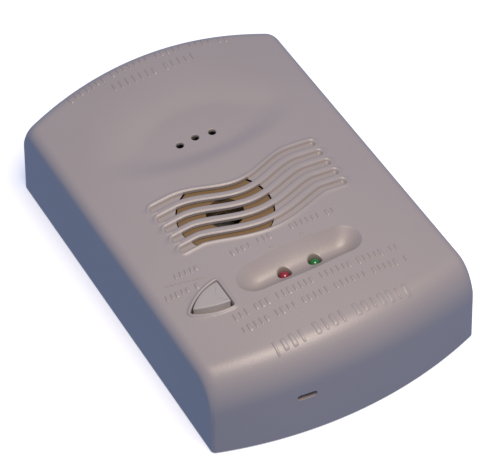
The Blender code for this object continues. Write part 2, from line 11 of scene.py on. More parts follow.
import bmesh
import bpy
import numpy as np
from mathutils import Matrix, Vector


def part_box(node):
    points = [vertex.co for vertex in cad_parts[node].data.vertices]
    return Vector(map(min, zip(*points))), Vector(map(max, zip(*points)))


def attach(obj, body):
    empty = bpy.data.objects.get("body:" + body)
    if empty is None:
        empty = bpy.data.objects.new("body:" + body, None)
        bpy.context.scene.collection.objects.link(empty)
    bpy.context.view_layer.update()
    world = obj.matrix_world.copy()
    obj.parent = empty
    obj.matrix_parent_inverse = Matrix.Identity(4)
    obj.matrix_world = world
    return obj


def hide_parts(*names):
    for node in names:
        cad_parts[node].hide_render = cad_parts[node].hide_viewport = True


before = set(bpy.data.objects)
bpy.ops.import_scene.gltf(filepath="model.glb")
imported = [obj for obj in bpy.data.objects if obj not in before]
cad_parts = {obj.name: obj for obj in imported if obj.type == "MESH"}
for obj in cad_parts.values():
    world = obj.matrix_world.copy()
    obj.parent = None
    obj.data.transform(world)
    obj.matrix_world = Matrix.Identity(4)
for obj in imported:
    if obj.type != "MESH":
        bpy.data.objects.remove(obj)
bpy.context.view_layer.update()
MM = 0.001
print("nodes:", len(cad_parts))

# %% [markdown]
# ## Camera
#
# The unit is seen from its lower left, well above it, through a long lens, so its long sides stay
# nearly parallel. A direction and a distance say this more plainly than a matrix of numbers would.

# %% Camera
VIEW_AZIMUTH = -29.5  # degrees round from straight on to the lower end
VIEW_ELEVATION = 48.05
VIEW_DISTANCE = 0.7027
VIEW_TARGET = Vector((0.00425, 0.00314, 0.00428))
VIEW_ROLL, VIEW_LENS = 0.37, 174.5  # degrees, mm

turn, lift = math.radians(VIEW_AZIMUTH), math.radians(VIEW_ELEVATION)
towards_camera = Vector((math.sin(turn) * math.cos(lift), -math.cos(turn) * math.cos(lift), math.sin(lift)))
camera_data = bpy.data.cameras.new("camera")
camera_data.lens = VIEW_LENS
camera_data.sensor_width = 36.0
camera_data.clip_start = 0.05
camera = bpy.data.objects.new("camera", camera_data)
camera.location = VIEW_TARGET + towards_camera * VIEW_DISTANCE
camera.rotation_euler = towards_camera.to_track_quat("Z", "Y").to_euler()
camera.rotation_euler.rotate_axis("Z", -math.radians(VIEW_ROLL))
bpy.context.scene.collection.objects.link(camera)
bpy.context.scene.camera = camera
print("camera at", [round(value, 4) for value in camera.location])

# %% [markdown]
# ## Light and floor
#
# One large warm softbox hangs high above the lower end, and a dim blue surround reaches the walls
# that the softbox misses. The floor is white acrylic with a faint glow of its own, because a plain
# white floor would turn grey under one small lamp. It is hidden from bounced light, so that it
# throws nothing back up the walls and they keep their shade.

# %% Light
KEY_PLACE, KEY_SIZE, KEY_WATTS = (0.0, -0.18, 0.50), 0.28, 2.42
WARM, COOL, SURROUND_STRENGTH = (1.0, 0.85, 0.68), (0.40, 0.56, 1.0, 1.0), 0.57


def aimed_light(name, place, target, size, watts, colour):
    """A square area light at place, in metres, turned to face target."""
    data = bpy.data.lights.new(name, "AREA")
    data.shape = "SQUARE"
    data.size = size
    data.energy = watts
    data.color = colour
    lamp = bpy.data.objects.new(name, data)
    lamp.location = place
    lamp.rotation_euler = (Vector(place) - Vector(target)).to_track_quat("Z", "Y").to_euler()
    bpy.context.scene.collection.objects.link(lamp)


aimed_light("key_softbox", KEY_PLACE, (0, 0, 0), KEY_SIZE, KEY_WATTS, WARM)
world = bpy.data.worlds.new("dim_surround")
world.use_nodes = True
surround = world.node_tree.nodes["Background"].inputs
surround["Color"].default_value = COOL
surround["Strength"].default_value = SURROUND_STRENGTH
bpy.context.scene.world = world
bpy.context.scene.view_settings.view_transform = "Standard"
print("key light:", KEY_WATTS, "W from", KEY_PLACE)


# %% Floor
def srgb(code):
    """A hex colour such as "9f968f", as the linear values that a shader takes."""
    shares = [int(code[k : k + 2], 16) / 255 for k in (0, 2, 4)]
    return (*[s / 12.92 if s <= 0.04045 else ((s + 0.055) / 1.055) ** 2.4 for s in shares], 1.0)


FLOOR_REACH, FLOOR_Z = 3.0, -0.0002
signs = ((-1, -1), (1, -1), (1, 1), (-1, 1))
floor_corners = [(x * FLOOR_REACH, y * FLOOR_REACH, FLOOR_Z) for x, y in signs]
floor_mesh = bpy.data.meshes.new("studio_floor")
floor_mesh.from_pydata(floor_corners, [], [(0, 1, 2, 3)])
floor = bpy.data.objects.new("studio_floor", floor_mesh)
bpy.context.scene.collection.objects.link(floor)
floor_finish = bpy.data.materials.new("backlit_white_acrylic")
floor_finish.use_nodes = True
for socket, value in (
    ("Base Color", srgb("f4f5f7")), ("Roughness", 0.9), ("Specular IOR Level", 0.1),
    ("Emission Color", srgb("fffaf2")), ("Emission Strength", 0.4),
):  # fmt: skip
    floor_finish.node_tree.nodes["Principled BSDF"].inputs[socket].default_value = value
floor_mesh.materials.append(floor_finish)
floor.visible_diffuse = floor.visible_glossy = False
print("floor:", 2 * FLOOR_REACH, "m across")

# %% [markdown]
# ## Materials
#
# A procedural finish is a small tree of nodes. One helper adds a node, sets its values and joins
# its inputs, so that each recipe below reads as a list of steps. Object coordinates are in metres,
# so a pattern with features of `size` millimetres has a scale of about 1000 / size.

# %% A helper that adds a node, and one that starts a finish
def node(tree, kind, values=None, links=None, **settings):
    """Adds a node to a tree, with its settings, its input values and its links by input name."""
    made = tree.nodes.new(kind)
    for name, value in settings.items():
        setattr(made, name, value)
    for name, value in (values or {}).items():
        made.inputs[name].default_value = value
    for name, source in (links or {}).items():
        tree.links.new(source, made.inputs[name])
    return made


def finish(name, **values):
    """A new material and its Principled shader, with plain values set on the shader's sockets."""
    made = bpy.data.materials.new(name)
    made.use_nodes = True
    shader = made.node_tree.nodes["Principled BSDF"]
    for socket, value in values.items():
        shader.inputs[socket.replace("_", " ")].default_value = value
    return made, made.node_tree, shader


def per_mm(size):
    """The scale of a pattern whose features are size millimetres across."""
    return 1.0 / (size * MM)


# %% [markdown]
# ### Grained ABS
#
# The cover is moulded ABS in a warm ivory grey. Its tool was spark eroded, which leaves a fine
# grain of about a third of a millimetre: it breaks the highlights into small sparkles. The colour
# drifts very slightly, as pigment in a moulding does. One noise alone would look like fog, so a
# noise and a cell pattern are added, and the Bump node reads their sum as the height of the grain.

# %% Grained ABS
def grained_plastic(name, colour, darker, grain_mm=0.35, depth_mm=0.016, roughness=0.5, gloss=0.5):
    """A moulded plastic with the grain of its tool and a faint drift of colour."""
    made, tree, shader = finish(name, Roughness=roughness, IOR=1.53, Specular_IOR_Level=gloss)
    place = node(tree, "ShaderNodeTexCoord").outputs["Object"]
    drift = node(tree, "ShaderNodeTexNoise", {"Scale": per_mm(30), "Detail": 2.0}, {"Vector": place})
    mixed = node(
        tree, "ShaderNodeMix", {"A": srgb(colour), "B": srgb(darker)}, {"Factor": drift.outputs["Fac"]},
        data_type="RGBA",
    )  # fmt: skip
    tree.links.new(mixed.outputs["Result"], shader.inputs["Base Color"])
    grain = node(
        tree, "ShaderNodeTexNoise", {"Scale": per_mm(grain_mm), "Detail": 3.0}, {"Vector": place}
    )
    swirl = node(tree, "ShaderNodeTexVoronoi", {"Scale": per_mm(grain_mm * 1.6)}, {"Vector": place})
    blend = node(
        tree, "ShaderNodeMath", links={0: grain.outputs["Fac"], 1: swirl.outputs["Distance"]},
        operation="ADD",
    )  # fmt: skip
    rough = node(
        tree, "ShaderNodeMapRange", {"To Min": roughness - 0.08, "To Max": roughness + 0.08},
        {"Value": grain.outputs["Fac"]},
    )  # fmt: skip
    tree.links.new(rough.outputs["Result"], shader.inputs["Roughness"])
    bump = node(
        tree, "ShaderNodeBump", {"Strength": 0.5, "Distance": depth_mm * MM * 2},
        {"Height": blend.outputs["Value"]},
    )  # fmt: skip
    tree.links.new(bump.outputs["Normal"], shader.inputs["Normal"])
    return made


COVER_ABS = grained_plastic("spark_grained_ivory_ABS", "a0958d", "9a8f87", roughness=0.44, gloss=0.75)
print("first finish:", COVER_ABS.name)

# %% [markdown]
# ## The front cover
#
# The cover is one moulding whose face follows a rule: a crowned sheet, rolled down at its edges,
# with a scoop, a basin and five wavy grooves pressed into it. A height function says all of that,
# so the cover is a structured grid of points laid on the function. Grid rows bend with the waves,
# so that every groove's edge is a clean row of edges and not a staircase.

# %% The cover's outline and rolled edges, in millimetres
WIDTH, LENGTH, END_SAGITTA = 84.0, 129.0, 7.2
FACE_HEIGHT, FACE_CROWN = 32.0, 4.8
WALL = 2.2
RIM_Z = 0.3
SIDE_DRAFT, LOWER_DRAFT, TITLE_DRAFT = 0.4, 0.66, 0.88
CORNER_RADIUS = 0.9
SIDE_ROLL, LOWER_ROLL, TITLE_ROLL = (2.9, 2.9), (8.5, 13.0), (6.2, 10.6)  # reach inwards, drop


def end_reach(x):
    """How far the curved end lies from the middle, at x."""
    half = WIDTH / 2
    radius = (half**2 + END_SAGITTA**2) / (2 * END_SAGITTA)
    return LENGTH / 2 - radius + np.sqrt(radius**2 - np.square(x))


def rolled(distance, reach, drop):
    """The drop of a rolled edge, at a distance in from where it meets the wall."""
    share = np.clip(1.0 - distance / reach, 0.0, 1.0)
    return drop * (1.0 - np.sqrt(1.0 - share**2))


def smooth(share):
    """A share eased at both ends, and held between 0 and 1."""
    share = np.clip(share, 0.0, 1.0)
    return share * share * (3.0 - 2.0 * share)


def wall_edges(x, inset):
    """Where the rolls meet the lower and title end walls, at x."""
    return LOWER_DRAFT + inset - end_reach(x), end_reach(x) - TITLE_DRAFT - inset


print("cover outline:", WIDTH, "by", LENGTH, "mm")

# %% The scoop round the sensor's holes, and the lamps' basin
SENSOR_X, SENSOR_Y = -1.9, 23.3
SENSOR_HOLE_PITCH, SENSOR_HOLE_RADIUS = 5.25, 1.15
SCOOP_CENTRE_Y = 28.0
SCOOP_REACH = (26.0, 13.0, 21.0)  # across, towards the grille, towards the title end
SCOOP_DEPTH, SCOOP_RIM = 1.9, 1.3
SCOOP_SLOPES, SCOOP_FADE = (0.6, 1.3), 20.0
BASIN_Y, BASIN_HALF_LENGTH, BASIN_RADIUS, BASIN_DEPTH = -31.65, 19.3, 5.6, 4.8
BASIN_RUN, BASIN_END = 6.6, 7.0  # how far its side slopes and its end slopes reach
BASIN_BULGE = (0.045, 0.145, 15.5)  # wider by this share in the middle, less this at this x
LED_PITCH, LED_Y, LED_HOLE_RADIUS = 9.6, -31.9, 2.0


def scoop(x, y):
    """A shallow dish with a short slope on the grille's side and a long one towards the title."""
    across, towards_grille, towards_title = SCOOP_REACH
    along = np.where(y < SCOOP_CENTRE_Y, towards_grille, towards_title)
    ratio = np.hypot(x / across, (y - SCOOP_CENTRE_Y) / along)
    short, long = SCOOP_SLOPES
    slope = short + (long - short) * smooth((y - SENSOR_Y) / SCOOP_FADE)
    return SCOOP_DEPTH * smooth((SCOOP_RIM - ratio) / slope)


def bulge(x):
    """How much wider the basin is at x than one with straight sides, as a share."""
    middle, loss, reach = BASIN_BULGE
    return (middle - loss * smooth(np.abs(x) / reach)) * smooth((BASIN_HALF_LENGTH + 1.3 - np.abs(x)) / 2)


def bulged(x, y):
    """Bends the grid's rows near the basin so that they follow its edge."""
    away = y - BASIN_Y
    return BASIN_Y + away * (1.0 + bulge(x) * smooth((8.0 - np.abs(away)) / 2.2))


def basin(x, y):
    """A long bowl whose slope eases out towards its middle line."""
    past_end = np.maximum(np.abs(x) - (BASIN_HALF_LENGTH - BASIN_RADIUS), 0.0)
    half_high = np.sqrt(np.maximum(BASIN_RADIUS**2 - past_end**2, 1e-6))
    ratio = np.hypot(np.abs(y - BASIN_Y) / (1.0 + bulge(x)) / half_high, 0.2)
    share = BASIN_RADIUS * (math.hypot(1.0, 0.2) - ratio) / BASIN_RUN
    end = np.clip((BASIN_HALF_LENGTH - np.abs(x)) / BASIN_END, 0.0, 1.0)
    return BASIN_DEPTH * np.sin(math.pi / 2 * np.clip(share, 0.0, 1.0)) * np.sin(math.pi / 2 * end)


print("depth of the basin at its middle:", round(float(basin(0.0, BASIN_Y)), 2), "mm")

# %% [markdown]
# ### The wavy grille
#
# Five grooves cross the face in one wave, each a little squarer than the one above. They are open
# only inside a circle over the horn. `row_y` bends a straight row of the grid along the wave, and
# `groove_height` gives the surface across a groove from its distance to the groove's edge: a
# rounded lip outside, then a steep wall, then a flat floor.

# %% Grooves
SLOT_COUNT, SLOT_PITCH, SLOT_TOP_Y, SLOT_WIDTH = 5, 4.3, 5.0, 2.3
SLOT_TIP_X = 26.6
WAVE_DEPTH, WAVE_HALF_WIDTH, WAVE_X, WAVE_SHARPENING = 5.1, 19.5, -0.5, 0.1
HORN_X, HORN_Y, GRILLE_RADIUS = -9.1, -6.6, 13.9
GROOVE_DEPTH, GROOVE_WALL = 0.75, 0.4
LIP_HEIGHT, LIP_WIDTH = 0.34, 1.3
GRILLE_THINNED = 1.3  # how much thinner the wall is where the slots are open
THINNED_PAST, THINNED_FADE = 1.9, 1.7  # how far past the open circle that reaches, and its slope
WAVE_FADE_ABOVE, WAVE_FADE_BELOW = 9.0, 10.0


def wave(x, index):
    """Height of the wave of groove number index at x, as a share of its full depth."""
    share = np.minimum(np.abs(x - WAVE_X) / WAVE_HALF_WIDTH, 1.0)
    return (0.5 + 0.5 * np.cos(math.pi * share)) ** (1.0 - WAVE_SHARPENING * index)


def row_y(x, v):
    """Where row v of the grid runs at x: straight far from the grille, and with the wave inside it."""
    steps = (SLOT_TOP_Y - v) / SLOT_PITCH
    nearest = np.clip(np.round(steps), 0, SLOT_COUNT - 1)
    flat = 0.3  # rows this near a groove's middle, in pitches, keep its own wave
    away = np.clip((np.abs(steps - nearest) - flat) / (0.5 - flat), 0.0, 1.0) * 0.5
    index = np.clip(nearest + np.sign(steps - nearest) * away, 0, SLOT_COUNT - 1)
    half_pitch = SLOT_PITCH / 2
    top, bottom = SLOT_TOP_Y + half_pitch, SLOT_TOP_Y - (SLOT_COUNT - 0.5) * SLOT_PITCH
    fade = smooth(1.0 - (v - top) / WAVE_FADE_ABOVE) * smooth(1.0 - (bottom - v) / WAVE_FADE_BELOW)
    return v - WAVE_DEPTH * wave(x, index) * fade


def groove_height(x, y):
    """Height that the grille adds to the face, from the distance to the nearest groove's edge."""
    nearest = np.full(np.broadcast(x, y).shape, np.inf)
    for index in range(SLOT_COUNT):
        middle = SLOT_TOP_Y - index * SLOT_PITCH - WAVE_DEPTH * wave(x, index)
        past_tip = np.maximum(np.abs(x) - (SLOT_TIP_X - SLOT_WIDTH / 2), 0.0)
        nearest = np.minimum(nearest, np.hypot(past_tip, y - middle) - SLOT_WIDTH / 2)
    top = SLOT_TOP_Y - WAVE_DEPTH * wave(x, 0)
    bottom = SLOT_TOP_Y - (SLOT_COUNT - 1) * SLOT_PITCH - WAVE_DEPTH * wave(x, SLOT_COUNT - 1)
    between = (y < top) & (y > bottom) & (np.abs(x) < SLOT_TIP_X)
    rise = np.sin(math.pi / 2 * np.clip(nearest / (LIP_WIDTH / 2), 0.0, 1.0))
    fall = np.where(nearest > LIP_WIDTH / 2, smooth(2.0 - nearest / (LIP_WIDTH / 2)), 1.0)
    rib = smooth((SLOT_TIP_X - np.abs(x)) / 2.5)
    lip = LIP_HEIGHT * rise * np.where(between, np.maximum(fall, rib), fall)
    return np.where(nearest > 0.0, lip, -GROOVE_DEPTH * smooth(-nearest / GROOVE_WALL))


def face_height(x, y, inset):
    """Height of the outer face, or with the wall's thickness as inset, of the inner one."""
    lower, title = wall_edges(x, inset)
    side = WIDTH / 2 - SIDE_DRAFT - inset - np.abs(x)
    height = FACE_HEIGHT - inset - FACE_CROWN * (x / (WIDTH / 2)) ** 2
    height = height - rolled(side, SIDE_ROLL[0] - inset, SIDE_ROLL[1] - inset)
    height = height - rolled(y - lower, LOWER_ROLL[0] - inset, LOWER_ROLL[1] - inset)
    height = height - rolled(title - y, TITLE_ROLL[0] - inset, TITLE_ROLL[1] - inset)
    if inset:
        from_horn = np.hypot(x - HORN_X, y - HORN_Y)
        height = height + GRILLE_THINNED * smooth((GRILLE_RADIUS + THINNED_PAST - from_horn) / THINNED_FADE)
    return height - scoop(x, y) - basin(x, y)


print("face at the horn:", round(float(face_height(np.array(HORN_X), HORN_Y, 0.0)), 2), "mm high")

# %% [markdown]
# ### Lines of the grid
#
# The lines are close together only where the surface turns: along the rolls, at the grooves' walls
# and tips, and down the basin's lip.

# %% Lines of the grid
def spread(low, high, step):
    """Evenly spaced values from low to high, about step apart."""
    return list(np.linspace(low, high, max(int(round((high - low) / step)), 1) + 1))


SIDE_STEPS, LOWER_STEPS, TITLE_STEPS = 8, 14, 12
MORPH_ROWS = 6  # rows between the straight ones and the curved start of an end's roll


def roll_insets(reach, steps):
    """Distances in from an edge that follow a roll evenly, from the edge inwards."""
    return reach * (1.0 - np.cos(math.pi / 2 * np.arange(steps + 1) / steps))


def merged(*runs):
    """Sorted values from several runs, without near doubles."""
    values = sorted(value for run in runs for value in run)
    kept = values[:1]
    for value in values[1:]:
        if value - kept[-1] > 0.05:
            kept.append(value)
    return np.array(kept)


BOWL_X = BASIN_HALF_LENGTH - BASIN_RADIUS  # where the basin's round ends start
BOWL_OUT_X = 20.6
BOWL_RINGS = np.array(
    [0, 0.8, 1.6, 2.4, 3.1, 3.7, 4.2, 4.6, 4.85, 5.05, 5.25, 5.42, 5.53, 5.6, 5.72, 6.1, 6.9, 8.0]
)  # distances from the basin's middle line, closest together at its lip
across_right = merged(
    spread(0, BOWL_X, 0.8), spread(BOWL_X, BOWL_OUT_X, 0.75), spread(BOWL_OUT_X, 24.3, 0.75),
    spread(24.3, 27.4, 0.25), spread(28.2, 38.0, 0.9),
)  # fmt: skip
FACE_X = np.concatenate([-across_right[:0:-1], across_right])
groove_rows = [
    SLOT_TOP_Y - index * SLOT_PITCH + side * distance
    for index in range(SLOT_COUNT)
    for side in (-1, 1)
    for distance in (0.0, 0.4, 0.78, 0.86, 0.95, 1.05, 1.15, 1.3, 1.5, 1.75, 2.05)
]
FACE_V = merged(
    spread(-46.0, BASIN_Y - BOWL_RINGS[-1], 0.9), BASIN_Y - BOWL_RINGS, BASIN_Y + BOWL_RINGS,
    spread(BASIN_Y + BOWL_RINGS[-1], -14.6, 0.7), groove_rows,
    spread(7.4, 21.0, 0.6), spread(21.6, 48.0, 0.8),
)  # fmt: skip
lines_across = len(FACE_X) + 2 * (SIDE_STEPS + 1)
lines_along = len(FACE_V) + LOWER_STEPS + TITLE_STEPS + 2 * MORPH_ROWS
print("grid of", lines_across, "by", lines_along, "lines")

# %% [markdown]
# ### A skin with holes
#
# Each skin is a grid of quads. Where a hole is wanted, a block of cells is left out, and rings of
# quads lead from the block's edge to the hole's own outline. The outer and inner skins have the
# same lines, so each hole's wall is one more ring between the two. Booleans could cut the holes
# from a plain sheet, but they leave long thin triangles, which shade badly on a curved face.

# %% Points and quads
points, quads = [], []


def put(spots):
    """Adds points, and returns their numbers in the same arrangement."""
    spots = np.asarray(spots, float)
    first = sum(len(run) for run in points)
    points.append(spots.reshape(-1, 3))
    return first + np.arange(spots.size // 3).reshape(spots.shape[:-1])


def join_loops(near, far):
    """Quads between two closed loops of the same length."""
    for k in range(len(near)):
        quads.append((near[k - 1], near[k], far[k], far[k - 1]))


def join_lines(near, far):
    """Quads between two open runs of the same length, or triangles where both runs share a point."""
    for a, b, c, d in zip(near, near[1:], far[1:], far):
        quads.append((a, b, c, d) if a != b else (a, c, d))


def taken_mesh(name):
    """A mesh of the points and quads put so far, with outward normals, and empties both lists."""
    mesh = bpy.data.meshes.new(name)
    mesh.from_pydata(np.concatenate(points) * MM, [], [tuple(int(n) for n in quad) for quad in quads])
    points.clear()
    quads.clear()
    tidy = bmesh.new()
    tidy.from_mesh(mesh)
    bmesh.ops.remove_doubles(tidy, verts=tidy.verts[:], dist=0.000002)
    bmesh.ops.dissolve_degenerate(tidy, edges=tidy.edges[:], dist=0.000001)
    bmesh.ops.recalc_face_normals(tidy, faces=tidy.faces[:])
    tidy.to_mesh(mesh)
    tidy.free()
    return mesh


# %% A mesh as a piece of the object
def piece(name, mesh, material, body, *stands_for, sharp=35.0):
    """Shows a mesh as a piece of the object that rides on a body and may replace CAD nodes."""
    mesh.materials.clear()
    mesh.materials.append(material)
    mesh.shade_smooth()
    mesh.set_sharp_from_angle(angle=math.radians(sharp))
    obj = bpy.data.objects.new(name, mesh)
    bpy.context.scene.collection.objects.link(obj)
    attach(obj, body)
    if stands_for:
        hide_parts(*stands_for)
    return obj


# %% Outlines of holes, seen from a point inside them
def round_hole(centre, radius):
    """A function that gives a circle's points and outward directions at some angles."""

    def outline(angles):
        out = np.stack([np.cos(angles), np.sin(angles)], axis=-1)
        return np.array(centre) + radius * out, out

    return outline


def softened_outline(corners, bows, corner_mm, count=720):
    """A closed outline through corners with bowed sides, its corners rounded by averaging."""
    runs = []
    for k in range(len(corners)):
        start, end = np.array(corners[k]), np.array(corners[(k + 1) % len(corners)])
        along = end - start
        outwards = np.array([along[1], -along[0]]) / np.hypot(*along)
        share = np.linspace(0, 1, 200, endpoint=False)[:, None]
        runs.append(start + along * share + outwards * (4 * bows[k] * share * (1 - share)))
    line = np.concatenate(runs)
    steps = np.hypot(*(np.roll(line, -1, axis=0) - line).T)
    reach = np.concatenate([[0.0], np.cumsum(steps)])
    even = np.linspace(0, reach[-1], count, endpoint=False)
    closed = np.concatenate([line, line[:1]])
    line = np.stack([np.interp(even, reach, closed[:, axis]) for axis in (0, 1)], axis=-1)
    window = max(int(corner_mm / (reach[-1] / count)), 1)
    turns = range(-window, window + 1)
    return sum(np.roll(line, turn, axis=0) for turn in turns) / len(turns)


def outline_seen_from(centre, line, angles):
    """Points and outward directions where rays at these angles from centre cross a closed outline."""
    tangent = np.roll(line, -1, axis=0) - np.roll(line, 1, axis=0)
    outwards = np.stack([tangent[:, 1], -tangent[:, 0]], axis=-1) / np.hypot(*tangent.T)[:, None]
    away = line - np.array(centre)
    bearing = np.arctan2(away[:, 1], away[:, 0])
    values = [np.interp(angles, bearing, row, period=2 * math.pi) for row in (*line.T, *outwards.T)]
    return np.stack(values[:2], axis=-1), np.stack(values[2:], axis=-1)


# %% Rings of quads round a hole
def patch(block_spots, block_ids, edge, outwards, offsets, lay):
    """Rings of quads from a hole's edge to the block round it. Returns the edge's loop of points."""
    loops = [put(lay(edge + outwards * distance, distance)) for distance in offsets]
    last = edge + outwards * offsets[-1]
    loops += [put(lay(last + (block_spots - last) * share, 9.0)) for share in (0.33, 0.67)]
    loops.append(block_ids)
    for near, far in zip(loops, loops[1:]):
        join_loops(near, far)
    return loops[0]


def block_loop(i0, i1, j0, j1):
    """The places round a block of cells, in order."""
    loop = [(i, j0) for i in range(i0, i1)] + [(i1, j) for j in range(j0, j1)]
    return loop + [(i, j1) for i in range(i1, i0, -1)] + [(i0, j) for j in range(j1, j0, -1)]


# %% The face's grid, bent to the waves and snapped to the grille's circle
def rounded_corner(x, y, half, end, radius):
    """Moves points near a corner of the outline on to the corner's curve."""
    over_x, over_y = np.abs(x) - (half - radius), np.abs(y) - (end - radius)
    both = (over_x > 0.0) & (over_y > 0.0)
    share = np.where(both, np.maximum(over_x, over_y) / np.maximum(np.hypot(over_x, over_y), 1e-9), 1.0)
    new_x = np.where(both, half - radius + over_x * share, np.abs(x))
    new_y = np.where(both, end - radius + over_y * share, np.abs(y))
    return np.copysign(new_x, x), np.copysign(new_y, y)


SNAP_REACH = 6  # columns on each side that move with the one that is snapped
TRIES = np.arange(-30.0, 12.0, 0.02)  # places along a row where the grille's circle is looked for


def face_lines(inset):
    """The plan places of a skin's grid points, before its corners are rounded."""
    half = WIDTH / 2 - SIDE_DRAFT - inset
    sides = half - roll_insets(SIDE_ROLL[0] - inset, SIDE_STEPS)
    across = np.concatenate([-sides, FACE_X, sides[::-1]])
    x = np.repeat(across[:, None], len(FACE_V), axis=1)
    for index in range(SLOT_COUNT):
        middle = SLOT_TOP_Y - index * SLOT_PITCH
        rows = np.abs(FACE_V - middle) < 2.0
        bent = row_y(TRIES[:, None], FACE_V[None, rows])
        inside = np.hypot(TRIES[:, None] - HORN_X, bent - HORN_Y) < GRILLE_RADIUS
        weight = np.clip((2.0 - np.abs(FACE_V[rows] - middle)) / 0.8, 0.0, 1.0)
        for ends in (TRIES[inside.argmax(axis=0)], TRIES[len(TRIES) - 1 - inside[::-1].argmax(axis=0)]):
            column = np.abs(across - ends[len(ends) // 2]).argmin()
            for step in range(-SNAP_REACH + 1, SNAP_REACH):
                share = 1.0 - abs(step) / SNAP_REACH
                x[column + step, rows] += (ends - across[column]) * share * weight
    middle_y = row_y(x, FACE_V[None, :])
    lower, title = wall_edges(across, inset)
    lower_rows = lower[:, None] + roll_insets(LOWER_ROLL[0] - inset, LOWER_STEPS)[None, :]
    title_rows = title[:, None] - roll_insets(TITLE_ROLL[0] - inset, TITLE_STEPS)[None, ::-1]
    shares = np.arange(1, MORPH_ROWS)[None, :] / MORPH_ROWS
    lower_morph = lower_rows[:, -1:] + (middle_y[:, :1] - lower_rows[:, -1:]) * shares
    title_morph = middle_y[:, -1:] + (title_rows[:, :1] - middle_y[:, -1:]) * shares
    y = np.concatenate([lower_rows, lower_morph, middle_y, title_morph, title_rows], axis=1)
    spare_low = np.repeat(across[:, None], LOWER_STEPS + MORPH_ROWS, axis=1)
    spare_high = np.repeat(across[:, None], TITLE_STEPS + MORPH_ROWS, axis=1)
    return np.concatenate([spare_low, x, spare_high], axis=1), y, across


# %% Cells that the open slots leave out
FIRST_ROW = LOWER_STEPS + MORPH_ROWS  # the grid's row where FACE_V starts


def open_slots(across):
    """Marks the cells that the grille's open slots leave out."""
    rows = FIRST_ROW + len(FACE_V) + TITLE_STEPS + MORPH_ROWS
    is_open = np.zeros((len(across) - 1, rows - 1), bool)
    for index in range(SLOT_COUNT):
        middle = SLOT_TOP_Y - index * SLOT_PITCH
        inside = TRIES[np.hypot(TRIES - HORN_X, row_y(TRIES, middle) - HORN_Y) < GRILLE_RADIUS]
        left, right = (np.abs(across - x).argmin() for x in (inside[0], inside[-1]))
        low, high = (
            FIRST_ROW + np.abs(FACE_V - (middle + side * SLOT_WIDTH / 2)).argmin() for side in (-1, 1)
        )
        is_open[left:right, low:high] = True
    return is_open


# %% [markdown]
# ### Holes in the face
#
# Three small holes let gas in to the sensor, two let the lamps show, and a bowed triangle takes the
# test button. The triangle has a raised bead round it. Each hole is given by its outline and by a
# profile across its edge, so that a bead, a rounded edge and a lamp's collar need no other code.

# %% Holes in the face
LATCH_X, WINDOW_Z, WINDOW_SIZE, WINDOW_CORNER = -15.7, 15.0, (5.7, 2.0), 0.75
OPENING = softened_outline(((-34.6, -32.5), (-23.2, -37.0), (-23.2, -26.9)), (1.1, 0.0, 1.3), 0.45)
OPENING_CENTRE, OPENING_BLOCK = (-26.9, -32.2), ((-37.0, -21.4), (-39.2, -24.9))
PORT_BLOCK, LAMP_BLOCK = 2.1, 3.0  # half the width of the block of cells left out round each hole
# Profiles of a hole's edge: distance from the edge, rise of the outer skin, rise of the inner one.
BEAD = (
    (0.0, 0.18, 0.0), (0.12, 0.36, 0.0), (0.3, 0.46, 0.0), (0.5, 0.48, 0.0),
    (0.7, 0.4, 0.0), (0.9, 0.2, 0.0), (1.1, 0.04, 0.0), (1.25, 0.0, 0.0),
)  # fmt: skip
EDGE_ROUND = ((0.0, -0.22, 0.0), (0.06, -0.09, 0.0), (0.16, -0.02, 0.0), (0.3, 0.0, 0.0))
PORT_EDGE = tuple((distance, rise, 1.3) for distance, rise, _ in EDGE_ROUND)
LAMP_EDGE = ((0.0, -0.2, -2.0), (0.06, -0.08, -2.2), (0.16, -0.02, -2.2), (0.5, 0.0, -2.1), (0.56, 0.0, 0.0))


def square_round(centre, half):
    """The limits in x and in y of a square block round a centre."""
    return tuple((value - half, value + half) for value in centre)


def button_opening(angles):
    """The triangular opening's points and outward directions at some angles."""
    return outline_seen_from(OPENING_CENTRE, OPENING, angles)


def face_holes():
    """Each hole in the face: its centre, its block's limits, its outline and its edge's profile."""
    for index in (-1, 0, 1):
        centre = (SENSOR_X + index * SENSOR_HOLE_PITCH, SENSOR_Y + 0.5 * (1 - abs(index)))
        yield centre, square_round(centre, PORT_BLOCK), round_hole(centre, SENSOR_HOLE_RADIUS), PORT_EDGE
    for side in (-1, 1):
        centre = (side * LED_PITCH / 2, LED_Y)
        yield centre, square_round(centre, LAMP_BLOCK), round_hole(centre, LED_HOLE_RADIUS), LAMP_EDGE
    yield OPENING_CENTRE, OPENING_BLOCK, button_opening, BEAD


